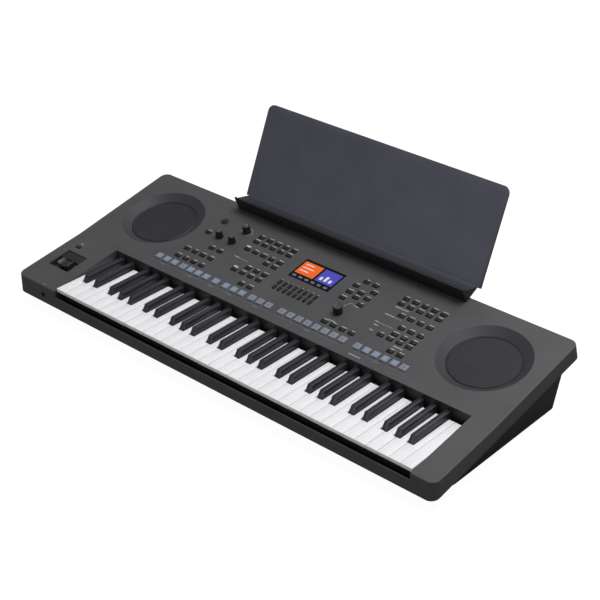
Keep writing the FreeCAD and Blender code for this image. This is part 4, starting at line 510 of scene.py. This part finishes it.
def soften(node, edge, segments=2):
    """Copy of a node with its edges rounded, in place of the node."""
    mesh = NODES[node].data.copy()
    piece = bpy.data.objects.new(f"{node}_soft", mesh)
    bpy.context.scene.collection.objects.link(piece)
    activate(piece)
    bpy.ops.object.mode_set(mode="EDIT")
    bpy.ops.mesh.select_all(action="SELECT")
    bpy.ops.mesh.remove_doubles(threshold=WELD)
    bpy.ops.mesh.dissolve_limited(angle_limit=math.radians(FLAT_ANGLE))
    bpy.ops.object.mode_set(mode="OBJECT")
    bevel = piece.modifiers.new("edge", "BEVEL")
    bevel.width = edge
    bevel.segments = segments
    bevel.limit_method = "ANGLE"
    bevel.angle_limit = math.radians(EDGE_ANGLE)
    bpy.ops.object.modifier_apply(modifier=bevel.name)
    smooth(piece)
    keep(piece, OWNER[node])
    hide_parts(node)
    dress(piece, finish_of(SLOTS[node]))
    return piece


def keep(piece, body):
    """Let a finished piece ride on its body."""
    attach(piece, body)


def merge(name, pieces):
    """Join pieces into one object."""
    bpy.context.view_layer.update()
    start_clean()
    for piece in pieces:
        piece.select_set(True)
    bpy.context.view_layer.objects.active = pieces[0]
    bpy.ops.object.join()
    pieces[0].name = name
    return pieces[0]


def surface_frame(node):
    """Frame on the uppermost face of a node: x to the right, z out of the face."""
    faces = NODES[node].data.polygons
    top = max(faces, key=lambda face: face.normal.z)
    normal = top.normal.normalized()
    level = [face for face in faces if abs((face.center - top.center).dot(normal)) < MATCH]
    level = [face for face in level if face.normal.dot(normal) > ONE_PLANE]
    middle = sum((face.area * face.center for face in level), Vector()) / sum(face.area for face in level)
    right = Vector((1, 0, 0))
    turn = Matrix((right, normal.cross(right), normal)).transposed()
    return Matrix.Translation(middle) @ turn.to_4x4()


def islands(node, place):
    """Corner boxes of the separate solids of a node, in a frame."""
    inverse = place.inverted()
    mesh = NODES[node].data
    points = [inverse @ vertex.co for vertex in mesh.vertices]
    owner = {}

    def root(key):
        while owner[key] != key:
            key = owner[key]
        return key

    keys = [tuple(round(value / MATCH) for value in point) for point in points]
    for key in keys:
        owner.setdefault(key, key)
    for face in mesh.polygons:
        first = root(keys[face.vertices[0]])
        for index in face.vertices[1:]:
            owner[root(keys[index])] = first
    groups = {}
    for key, point in zip(keys, points):
        groups.setdefault(root(key), []).append(point)
    boxes = []
    for group in groups.values():
        boxes.append([Vector([end(axis) for axis in zip(*group)]) for end in (min, max)])
    return sorted(boxes, key=lambda corners: (round(corners[0].y, 3), corners[0].x))


def edit(piece, faces):
    """Enter edit mode with the faces selected that pass a test."""
    activate(piece)
    bpy.ops.object.mode_set(mode="EDIT")
    bpy.ops.mesh.select_mode(type="FACE")
    bpy.ops.mesh.select_all(action="DESELECT")
    mesh = bmesh.from_edit_mesh(piece.data)
    for face in mesh.faces:
        face.select_set(bool(faces(face)))
    bmesh.update_edit_mesh(piece.data)


def tube(name, radius, wire, steps):
    """Round ring lying flat."""
    start_clean()
    bpy.ops.mesh.primitive_torus_add(
        major_radius=radius, minor_radius=wire, major_segments=steps, minor_segments=WIRE_STEPS
    )
    ring = bpy.context.object
    ring.name = name
    return ring


def plate(name, low, high):
    """Thin block between two corners, with its upper edges bevelled."""
    start_clean()
    bpy.ops.mesh.primitive_cube_add(size=1, location=(low + high) / 2)
    piece = bpy.context.object
    piece.name = name
    piece.scale = high - low
    bpy.ops.object.transform_apply(location=True, rotation=True, scale=True)
    bpy.ops.object.mode_set(mode="EDIT")
    mesh = bmesh.from_edit_mesh(piece.data)
    for edge in mesh.edges:
        edge.select = all(vertex.co.z > (low.z + high.z) / 2 for vertex in edge.verts)
    mesh.select_flush(True)
    bmesh.update_edit_mesh(piece.data)
    bpy.ops.mesh.bevel(offset=PLATE_BEVEL * (high.z - low.z), segments=1)
    bpy.ops.object.mode_set(mode="OBJECT")
    return piece


def bar(name, spot, length, width, lift):
    """Thin plate of a length and width, centred on a spot."""
    half = Vector((length / 2, width / 2, 0))
    return plate(name, spot - half, spot + half + Vector((0, 0, lift)))


class KEYBOARD_OT_stage(bpy.types.Operator):
    """Floor, lights, world and the camera of the photograph"""

    bl_idname = "keyboard.stage"
    bl_label = "Stage"

    def execute(self, context):
        scene = context.scene
        scene.view_settings.view_transform = "Standard"
        start_clean()
        bpy.ops.mesh.primitive_plane_add(size=FLOOR_WIDTH)
        floor = context.object
        floor.name = "floor"
        floor.data.materials.append(self.pale("floor_pale"))
        self.backdrop(scene)
        for settings in LAMPS:
            self.lamp(*settings)
        self.camera(scene)
        return {"FINISHED"}

    def pale(self, name):
        """White for the camera, with a share of the real shading kept for the shadow."""
        material, nodes, shader = new_material(name)
        patches = grain(material, nodes, 3.0)
        tinted(material, nodes, shader, patches, FLOOR_TONE, 0.01)
        shader.inputs["Roughness"].default_value = 0.9
        glow = nodes.new("ShaderNodeEmission")
        glow.inputs["Strength"].default_value = FLOOR_GLOW
        path = nodes.new("ShaderNodeLightPath")
        blend = nodes.new("ShaderNodeMixShader")
        amount = nodes.new("ShaderNodeMath")
        amount.operation = "MULTIPLY"
        amount.inputs[1].default_value = FLOOR_GLOW_SHARE
        join(material, path, "Is Camera Ray", amount, 0)
        join(material, amount, "Value", blend, "Fac")
        join(material, shader, "BSDF", blend, 1)
        join(material, glow, "Emission", blend, 2)
        join(material, blend, "Shader", nodes["Material Output"], "Surface")
        return material

    def backdrop(self, scene):
        """White world for the camera, soft light for the rest."""
        world = bpy.data.worlds.new("studio")
        scene.world = world
        world.use_nodes = True
        nodes = world.node_tree.nodes
        links = world.node_tree.links
        shine = nodes["Background"]
        shine.inputs["Color"].default_value = (1, 1, 1, 1)
        path = nodes.new("ShaderNodeLightPath")
        strength = nodes.new("ShaderNodeMapRange")
        strength.inputs["To Min"].default_value = SKY_LIGHT
        strength.inputs["To Max"].default_value = SKY_BACKDROP
        links.new(path.outputs["Is Camera Ray"], strength.inputs["Value"])
        links.new(strength.outputs["Result"], shine.inputs["Strength"])

    def lamp(self, name, spot, width, power, tone):
        """Square area lamp that looks at the middle of the object."""
        data = bpy.data.lights.new(name, "AREA")
        data.size = width
        data.energy = power
        data.color = tone
        lamp = bpy.data.objects.new(name, data)
        bpy.context.scene.collection.objects.link(lamp)
        lamp.location = spot
        aim = LAMP_TARGET - Vector(spot)
        lamp.rotation_euler = aim.to_track_quat("-Z", "Y").to_euler()

    def camera(self, scene):
        """Camera of the photograph."""
        data = bpy.data.cameras.new("photo_camera")
        data.lens = CAMERA_LENS
        data.sensor_width = CAMERA_SENSOR
        data.clip_end = CAMERA_REACH
        camera = bpy.data.objects.new("photo_camera", data)
        scene.collection.objects.link(camera)
        front = Vector((0, CAD_BOX[0][1], CAD_BOX[0][2]))
        camera.location = front + CAMERA_FROM_FRONT_CENTRE
        camera.rotation_euler = (math.pi / 2 - CAMERA_ELEVATION, 0, CAMERA_AZIMUTH)
        scene.camera = camera


class KEYBOARD_OT_case(bpy.types.Operator):
    """Finishes of all nodes, with painted shade on the upper case: the board behind the keys and the speaker
    dishes
    """

    bl_idname = "keyboard.case"
    bl_label = "Finishes"

    def execute(self, context):
        for node, piece in NODES.items():
            dress(piece, finish_of(SLOTS[node]))
        self.paint_case_shade(NODES["upper_case"])
        return {"FINISHED"}

    def paint_case_shade(self, case):
        """Painted shade: black plastic for the upright board behind the keys and a darker plastic for the
        slopes of the speaker dishes, where shade falls.
        """
        line = CAD_BOX[0][1] + sizes().arm_line
        up = surface_frame("display_window").to_3x3().col[2]
        dishes = [surface_frame(node).translation for node in NODES if node.endswith("_grille")]
        # Painted shade: black plastic for the shaded board behind the keys, a darker plastic for the shaded
        # dish slopes.
        case.data.materials.append(moulded("fallboard_painted_shade", (0.018, 0.018, 0.02), 0.5))
        case.data.materials.append(moulded("dish_painted_shade", colours().dish, 0.55))
        for face in case.data.polygons:
            # Faces of the upright board behind the keys take the black painted shade.
            if face.normal.y < -SQUARE and face.center.y > line:
                face.material_index = 1
            # Painted shade: the slopes of the speaker dishes take a darker plastic than the panel.
            elif DISH_SLOPES[0] < face.normal.dot(up) < DISH_SLOPES[1]:
                near = min((face.center - dish).length for dish in dishes)
                face.material_index = 2 if near < sizes().dish_reach else 0


class KEYBOARD_OT_keys(bpy.types.Operator):
    """White and black keys with rounded edges"""

    bl_idname = "keyboard.keys"
    bl_label = "Keys"

    def execute(self, context):
        for node in NODES:
            if node.startswith("keys_"):
                if node.endswith("sharp"):
                    soften(node, sizes().sharp_edge)
                else:
                    self.paint_arm_shade(soften(node, sizes().key_edge))
        return {"FINISHED"}

    def paint_arm_shade(self, piece):
        """Painted shade: dark plastic for the arms behind the key plates, which lie in shade under the panel.
        """
        line = CAD_BOX[0][1] + sizes().arm_line
        piece.data.materials.append(finish_of("chassis_grey"))
        for face in piece.data.polygons:
            # Painted shade: faces behind the arm line take the dark plastic.
            face.material_index = 1 if face.center.y > line else 0


class KEYBOARD_OT_buttons(bpy.types.Operator):
    """Buttons and pads with rounded edges"""

    bl_idname = "keyboard.buttons"
    bl_label = "Buttons and pads"

    def execute(self, context):
        for node in NODES:
            if node.endswith(("_buttons", "_button")):
                soften(node, sizes().button_edge)
            if node.endswith("_pads"):
                soften(node, sizes().pad_edge, 3)
        return {"FINISHED"}


class KEYBOARD_OT_rest(bpy.types.Operator):
    """Music rest with rounded edges, bands of painted light on its shelf and painted shade on the tray's
    front and ends
    """

    bl_idname = "keyboard.rest"
    bl_label = "Music rest"

    def execute(self, context):
        piece = soften("music_rest", sizes().rest_edge, 3)
        low, high = islands("music_rest", Matrix.Identity(4))[0]
        tray = low.z + SHELF_HEIGHT_SHARE * (high.z - low.z)
        faces = [face for face in piece.data.polygons if face.center.z < tray]
        shelf = max((face for face in faces if face.normal.z > FACING), key=lambda face: face.area)
        depths = [piece.data.vertices[index].co.y for index in shelf.vertices]
        # Painted light: the shelf takes bands of painted highlight and shade.
        piece.data.materials.append(light_banded("rest_shelf_painted_light", colours().shelf, min(depths), max(depths)))
        piece.data.materials.append(finish_of("housing_black"))
        for face in faces:
            if face.normal.z > FACING:
                face.material_index = 1
            # Painted shade: the tray's front and end faces, which lie in shade, take the black housing
            # plastic.
            elif face.normal.y < -FACING or abs(face.normal.x) > FACING:
                face.material_index = 2
        return {"FINISHED"}


class KEYBOARD_OT_grilles(bpy.types.Operator):
    """Perforated speaker grilles with a black rim of painted shade"""

    bl_idname = "keyboard.grilles"
    bl_label = "Speaker grilles"

    def execute(self, context):
        for node in NODES:
            if node.endswith("_grille"):
                self.grille(node)
        return {"FINISHED"}

    def grille(self, node):
        """Sheet with square holes cut to a disc, and a round black rim that paints the shade between grille
        and dish.
        """
        place = surface_frame(node)
        low, high = islands(node, place)[0]
        centre = (low + high) / 2
        radius = (high.x - low.x) / 2
        thick = high.z - low.z
        cells = round(2 * radius / sizes().grille_pitch)
        start_clean()
        bpy.ops.mesh.primitive_grid_add(x_subdivisions=cells, y_subdivisions=cells, size=2 * radius)
        sheet = bpy.context.object
        edit(sheet, faces=lambda face: face.calc_center_median().length > radius - sizes().grille_ring)
        bpy.ops.mesh.delete(type="FACE")
        bpy.ops.mesh.select_all(action="SELECT")
        bpy.ops.mesh.inset(thickness=sizes().grille_web / 2, use_individual=True)
        bpy.ops.mesh.delete(type="FACE")
        bpy.ops.mesh.select_all(action="SELECT")
        bpy.ops.mesh.extrude_region_move(TRANSFORM_OT_translate={"value": (0, 0, thick / 2)})
        bpy.ops.mesh.select_all(action="SELECT")
        bpy.ops.mesh.normals_make_consistent(inside=False)
        bpy.ops.object.mode_set(mode="OBJECT")
        # Painted shade: a black ring stands for the shadowed gap round the recessed grille.
        rim = tube("grille_shade_rim", radius - sizes().grille_ring, sizes().grille_ring, GRILLE_STEPS)
        dress(sheet, finish_of(SLOTS[node]))
        dress(rim, finish_of("housing_black"))
        piece = merge(f"{node}_mesh", [sheet, rim])
        piece.location = (centre.x, centre.y, high.z - thick / 2)
        settle(piece, place)
        smooth(piece)
        keep(piece, OWNER[node])
        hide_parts(node)


class KEYBOARD_OT_knobs(bpy.types.Operator):
    """Ribbed knobs and the data dial"""

    bl_idname = "keyboard.knobs"
    bl_label = "Knobs"

    def execute(self, context):
        for node in NODES:
            if node.endswith(("_knob", "_dial")):
                self.knob(node)
        return {"FINISHED"}

    def knob(self, node):
        """Tapered knob with grip grooves, a paler top that paints a highlight, and a stem; the dial has no
        pointer.
        """
        place = surface_frame("display_window")
        low, high = islands(node, place)[0]
        centre = (low + high) / 2
        foot = (high.x - low.x) / 2
        crown = self.crown(node, place, centre, CROWN_LINE * high.z)
        edge = sizes().knob_edge
        tall = high.z - sizes().knob_gap - edge / 2
        ribs = sizes().knob_ribs
        start_clean()
        bpy.ops.mesh.primitive_cylinder_add(vertices=4 * ribs, radius=foot, depth=tall)
        piece = bpy.context.object
        # Painted highlight: a paler plastic for the top of the knob, as lit from above.
        dress(piece, finish_of(SLOTS[node]), moulded("knob_top_highlight", (0.07, 0.07, 0.073), 0.4))
        edit(piece, faces=lambda face: face.normal.z > FACING)
        bpy.ops.transform.resize(value=(crown / foot, crown / foot, 1), center_override=(0, 0, tall / 2))
        edit(piece, faces=lambda face: abs(face.normal.z) < UPRIGHT and self.groove(face, ribs))
        bpy.ops.mesh.inset(thickness=sizes().rib_inset, use_individual=False)
        shrink = 1 - sizes().rib_depth / foot
        bpy.ops.transform.resize(value=(shrink, shrink, 1), center_override=(0, 0, 0))
        edit(piece, faces=lambda face: self.end_face(face, 1, foot))
        bpy.ops.mesh.inset(thickness=edge)
        bpy.ops.transform.translate(value=(0, 0, edge / 2))
        bpy.ops.mesh.inset(thickness=edge / 2)
        # Painted highlight: the middle of the top takes the paler plastic.
        piece.active_material_index = 1
        bpy.ops.object.material_slot_assign()
        bpy.ops.transform.translate(value=(0, 0, -edge / 4))
        edit(piece, faces=lambda face: self.end_face(face, -1, foot))
        bpy.ops.mesh.inset(thickness=STEM_INSET * foot)
        bpy.ops.mesh.extrude_region_move(TRANSFORM_OT_translate={"value": (0, 0, low.z - sizes().knob_gap)})
        bpy.ops.object.mode_set(mode="OBJECT")
        if node.endswith("_knob"):
            top = tall / 2 + edge / 4
            reach = Vector((POINTER_HALF * foot, crown - 2 * edge, top + sizes().mark_lift))
            start = Vector((-reach.x, POINTER_START * crown, top - sizes().pointer_sink))
            pointer = plate("pointer", start, reach)
            dress(pointer, ink("print_pale"))
            piece = merge(f"{node}_ribbed", [piece, pointer])
        piece.name = f"{node}_ribbed"
        piece.location = (centre.x, centre.y, sizes().knob_gap + tall / 2)
        settle(piece, place)
        smooth(piece)
        keep(piece, OWNER[node])
        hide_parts(node)

    def crown(self, node, place, centre, line):
        """Largest radius of a knob above a line."""
        inverse = place.inverted()
        points = [inverse @ vertex.co - centre for vertex in NODES[node].data.vertices]
        return max(math.hypot(point.x, point.y) for point in points if point.z + centre.z > line)

    def end_face(self, face, side, foot):
        """True for the upper (1) or lower (-1) end of a knob, but not for the ledges of its grooves."""
        inner = face.calc_center_median().to_2d().length < END_REACH * foot
        return side * face.normal.z > FACING and inner

    def groove(self, face, ribs):
        """True for every other pair of side faces."""
        centre = face.calc_center_median()
        turn = math.atan2(centre.y, centre.x) / math.tau % 1
        return int(turn * 2 * ribs) % 2 == 0


class KEYBOARD_OT_display(bpy.types.Operator):
    """Picture on the display: two plain fields and rows of small bars"""

    bl_idname = "keyboard.display"
    bl_label = "Display"

    def execute(self, context):
        place = surface_frame("display_window")
        low, high = islands("display_window", place)[0]
        width = high.x - low.x
        height = high.y - low.y

        def field(name, edges, material, rise):
            x0, y0, x1, y1 = edges
            corner = Vector((low.x + x0 * width, low.y + y0 * height, high.z))
            far = Vector((low.x + x1 * width, low.y + y1 * height, high.z + rise))
            piece = plate(name, corner, far)
            dress(piece, material)
            return piece

        warm = lit_field("field_warm", colours().warm)
        cool = lit_field("field_cool", colours().cool)
        pale = lit_field("field_pale", (0.75, 0.77, 0.8))
        dim = lit_field("field_dim", (0.16, 0.16, 0.18))
        pieces = [
            field("field_left", WARM_FIELD, warm, sizes().field_lift),
            field("field_right", COOL_FIELD, cool, sizes().field_lift),
        ]
        for line, column in zip(LIST_BARS, CHART_BARS):
            pieces.append(field("bar_left", line, pale, sizes().bar_lift))
            pieces.append(field("bar_right", column, pale, sizes().bar_lift))
        x0, y0, x1, y1 = FIRST_SOFT_KEY
        for step in range(SOFT_KEYS):
            shift = SOFT_KEY_PITCH * step
            pieces.append(field("key_below", (x0 + shift, y0, x1 + shift, y1), dim, sizes().field_lift))
        piece = merge("display_picture", pieces)
        settle(piece, place)
        keep(piece, OWNER["display_window"])
        return {"FINISHED"}


class KEYBOARD_OT_lights(bpy.types.Operator):
    """Lit windows of the pads, marks on the plain pads and lamps of the buttons"""

    bl_idname = "keyboard.lights"
    bl_label = "Pad and button lights"

    def execute(self, context):
        place = surface_frame("display_window")
        blue = pad_glow("pad_glow")
        lamps = {name: glowing(f"lamp_{name}", tone, LAMP_GLOW) for name, tone in LAMP_TONES.items()}
        for node in NODES:
            if node.endswith("_pads"):
                self.pads(node, place, blue)
        for node, chosen in LAMP_BUTTONS.items():
            pieces = []
            boxes = islands(node, place)
            for index, tone in chosen.items():
                low, high = boxes[index]
                spot = Vector(((low.x + high.x) / 2, (low.y + high.y) / 2, high.z))
                piece = bar("lamp", spot, sizes().lamp_length, sizes().lamp_width, sizes().lamp_lift)
                dress(piece, lamps[tone])
                pieces.append(piece)
            piece = merge(f"{node}_lamps", pieces)
            settle(piece, place)
            keep(piece, OWNER[node])
        return {"FINISHED"}

    def pads(self, node, place, blue):
        """Lit window or small mark on each pad of a block."""
        lit = LIT_PADS.get(node, ())
        windows = []
        marks = []
        for index, (low, high) in enumerate(islands(node, place)):
            spot = Vector(((low.x + high.x) / 2, (low.y + high.y) / 2, high.z))
            if index in lit:
                windows.append(self.window(spot))
                continue
            piece = bar("pad_mark", spot, sizes().pad_mark, sizes().pad_mark, sizes().mark_lift)
            dress(piece, ink("print_dim"))
            marks.append(piece)
        for name, group in (("windows", windows), ("marks", marks)):
            if group:
                piece = merge(f"{node}_{name}", group)
                settle(piece, place)
                keep(piece, OWNER[node])
                if name == "windows":
                    dress(piece, blue)

    def window(self, spot):
        """Flat window with round corners."""
        start_clean()
        place = spot + Vector((0, 0, sizes().window_lift))
        bpy.ops.mesh.primitive_plane_add(size=sizes().pad_light, location=place)
        piece = bpy.context.object
        edit(piece, faces=lambda face: True)
        bpy.ops.mesh.bevel(offset=sizes().window_round, segments=3, affect="VERTICES")
        bpy.ops.object.mode_set(mode="OBJECT")
        return piece


class KEYBOARD_OT_marks(bpy.types.Operator):
    """Printed dashes beside the controls, ticks round the volume knob and lines below the pads"""

    bl_idname = "keyboard.marks"
    bl_label = "Printed marks"

    def execute(self, context):
        place = surface_frame("display_window")
        pieces = []
        lines = []
        turn = 0
        for node in NODES:
            if node.endswith("_buttons"):
                boxes = islands(node, place)
                rear = max(high.y for low, high in boxes)
                for low, high in boxes:
                    slim = high.x - low.x < high.y - low.y
                    if slim and high.y < rear - ROW_MATCH:
                        continue
                    count = 1 if slim else DASHES[turn % len(DASHES)]
                    pieces.append(self.dashes((low.x + high.x) / 2, high.y + sizes().mark_gap, count))
                    turn += 1
            if node.endswith("_pads"):
                lines.extend(self.pad_lines(islands(node, place)))
        pieces.extend(self.headings())
        pieces.extend(self.ring("volume_knob", place))
        pieces.extend(self.dial_line())
        self.print_on("panel_marks", pieces, place, ink("print_pale"))
        self.print_on("pad_lines", lines, place, ink("print_faint"))
        white = moulded("print_white", (0.6, 0.6, 0.6), 0.6, 2500.0)
        self.print_on("panel_tags", self.tags(), place, white)
        cheek = surface_frame("hold_button") @ Matrix.Translation((0, 0, -sizes().hold_rise))
        phones = tube("phones_mark", sizes().phones_ring, sizes().phones_wire, PRINT_STEPS)
        phones.location = (PHONES_MARK[0] * MM, PHONES_MARK[1] * MM, 0)
        hold = self.dashes(HOLD_MARK[0] * MM, HOLD_MARK[1] * MM, HOLD_DASHES)
        self.print_on("cheek_marks", [hold, phones], cheek, ink("print_pale"))
        return {"FINISHED"}

    def print_on(self, name, pieces, place, material):
        """Join printed pieces and lay them on the case."""
        piece = merge(name, pieces)
        settle(piece, place)
        keep(piece, OWNER["upper_case"])
        dress(piece, material)

    def headings(self):
        """Rows of dashes that head a block, some with a thin line after them."""
        pieces = []
        for x, y, count, tail in HEADINGS:
            pieces.append(self.dashes(x * MM, y * MM, count))
            if tail:
                start = Vector((x * MM + count * sizes().dash_pitch / 2, y * MM, 0))
                far = start + Vector((tail * MM, sizes().line_width, sizes().mark_lift))
                pieces.append(plate("heading_line", start, far))
        return pieces

    def tags(self):
        """Pale tags."""
        tag = (sizes().tag_width, sizes().tag_height, sizes().mark_lift)
        return [bar("tag", Vector((x * MM, y * MM, 0)), *tag) for x, y in TAGS]

    def dial_line(self):
        """Thin bent line beside the dial, with a dot at its start."""
        corners = [Vector((x * MM, y * MM, 0)) for x, y in DIAL_LINE]
        lift = sizes().mark_lift
        pieces = [bar("dial_dot", corners[0], sizes().dash_width, sizes().dash_width, lift)]
        for start, end in zip(corners, corners[1:]):
            way = end - start
            piece = bar("dial_stroke", Vector(), way.length, sizes().line_width, lift)
            piece.rotation_euler.z = math.atan2(way.y, way.x)
            piece.location = (start + end) / 2
            pieces.append(piece)
        return pieces

    def dashes(self, middle, y, count):
        """Row of dashes."""
        start = middle - count * sizes().dash_pitch / 2
        far = Vector((start + sizes().dash_width, y + sizes().mark_height, sizes().mark_lift))
        piece = plate("dash", Vector((start, y, 0)), far)
        if count > 1:
            row = piece.modifiers.new("row", "ARRAY")
            row.count = count
            row.use_relative_offset = False
            row.use_constant_offset = True
            row.constant_offset_displace = (sizes().dash_pitch, 0, 0)
            activate(piece)
            bpy.ops.object.modifier_apply(modifier=row.name)
        return piece

    def pad_lines(self, boxes):
        """Thin line below each run of pads, with a short bar in its middle."""
        runs = [[boxes[0]]]
        for before, after in zip(boxes, boxes[1:]):
            if after[0].x - before[1].x > sizes().pad_run_gap:
                runs.append([])
            runs[-1].append(after)
        pieces = []
        for run in runs:
            left = run[0][0].x
            right = run[-1][1].x
            y = run[0][0].y - sizes().pad_line_gap
            far = Vector((right, y + sizes().pad_line, sizes().mark_lift))
            pieces.append(plate("pad_line", Vector((left, y, 0)), far))
            below = y - PAD_DASH_DROP * sizes().mark_height
            pieces.append(self.dashes((left + right) / 2, below, PAD_DASHES))
        return pieces

    def ring(self, node, place):
        """Ticks round a knob."""
        low, high = islands(node, place)[0]
        centre = Vector(((low.x + high.x) / 2, (low.y + high.y) / 2, 0))
        radius = (high.x - low.x) / 2 + sizes().tick_gap
        pieces = []
        for index in range(TICKS):
            angle = math.radians(90 + TICK_SWEEP / 2 - TICK_SWEEP * index / (TICKS - 1))
            tick = bar("tick", Vector(), sizes().tick_length, sizes().tick_width, sizes().mark_lift)
            tick.rotation_euler.z = angle
            tick.location = centre + radius * Vector((math.cos(angle), math.sin(angle), 0))
            pieces.append(tick)
        return pieces


class KEYBOARD_OT_small(bpy.types.Operator):
    """Joystick and feet with rounded edges, and rings round the rear sockets"""

    bl_idname = "keyboard.small"
    bl_label = "Joystick, feet and socket rings"

    def execute(self, context):
        for node in ("joystick_lever", "joystick_housing", "rubber_feet"):
            soften(node, sizes().small_edge)
        steel = metal("socket_nickel", (0.5, 0.5, 0.5), 0.3)
        rings = []
        for low, high in islands("rear_sockets", Matrix.Identity(4))[:-1]:
            ring = tube("socket_ring", sizes().socket_ring, sizes().ring_wire, SOCKET_STEPS)
            ring.rotation_euler.x = math.pi / 2
            ring.location = ((low.x + high.x) / 2, high.y, (low.z + high.z) / 2)
            rings.append(ring)
        piece = merge("rear_socket_rings", rings)
        settle(piece)
        smooth(piece)
        keep(piece, OWNER["rear_sockets"])
        dress(piece, steel)
        return {"FINISHED"}


class KEYBOARD_PT_panel(bpy.types.Panel):
    """Buttons for the steps that build the keyboard's looks"""

    bl_label = "Keyboard"
    bl_idname = "KEYBOARD_PT_panel"
    bl_space_type = "VIEW_3D"
    bl_region_type = "UI"
    bl_category = "Keyboard"

    def draw(self, context):
        for operator in OPERATORS:
            self.layout.operator(operator.bl_idname)


OPERATORS = (
    KEYBOARD_OT_stage,
    KEYBOARD_OT_case,
    KEYBOARD_OT_keys,
    KEYBOARD_OT_buttons,
    KEYBOARD_OT_rest,
    KEYBOARD_OT_grilles,
    KEYBOARD_OT_knobs,
    KEYBOARD_OT_display,
    KEYBOARD_OT_lights,
    KEYBOARD_OT_marks,
    KEYBOARD_OT_small,
)
CLASSES = (KeyboardSizes, KeyboardColours, *OPERATORS, KEYBOARD_PT_panel)


def register():
    """Register the classes and the settings."""
    for item in CLASSES:
        bpy.utils.register_class(item)
    bpy.types.Scene.keyboard_sizes = PointerProperty(type=KeyboardSizes)
    bpy.types.Scene.keyboard_colours = PointerProperty(type=KeyboardColours)


def unregister():
    """Remove the settings and the classes."""
    del bpy.types.Scene.keyboard_sizes
    del bpy.types.Scene.keyboard_colours
    for item in reversed(CLASSES):
        bpy.utils.unregister_class(item)


def main():
    """Register the settings and build the looks piece by piece."""
    register()
    bpy.ops.keyboard.stage()
    bpy.ops.keyboard.case()
    bpy.ops.keyboard.keys()
    bpy.ops.keyboard.buttons()
    bpy.ops.keyboard.rest()
    bpy.ops.keyboard.grilles()
    bpy.ops.keyboard.knobs()
    bpy.ops.keyboard.display()
    bpy.ops.keyboard.lights()
    bpy.ops.keyboard.marks()
    bpy.ops.keyboard.small()


if __name__ == "__main__":
    main()
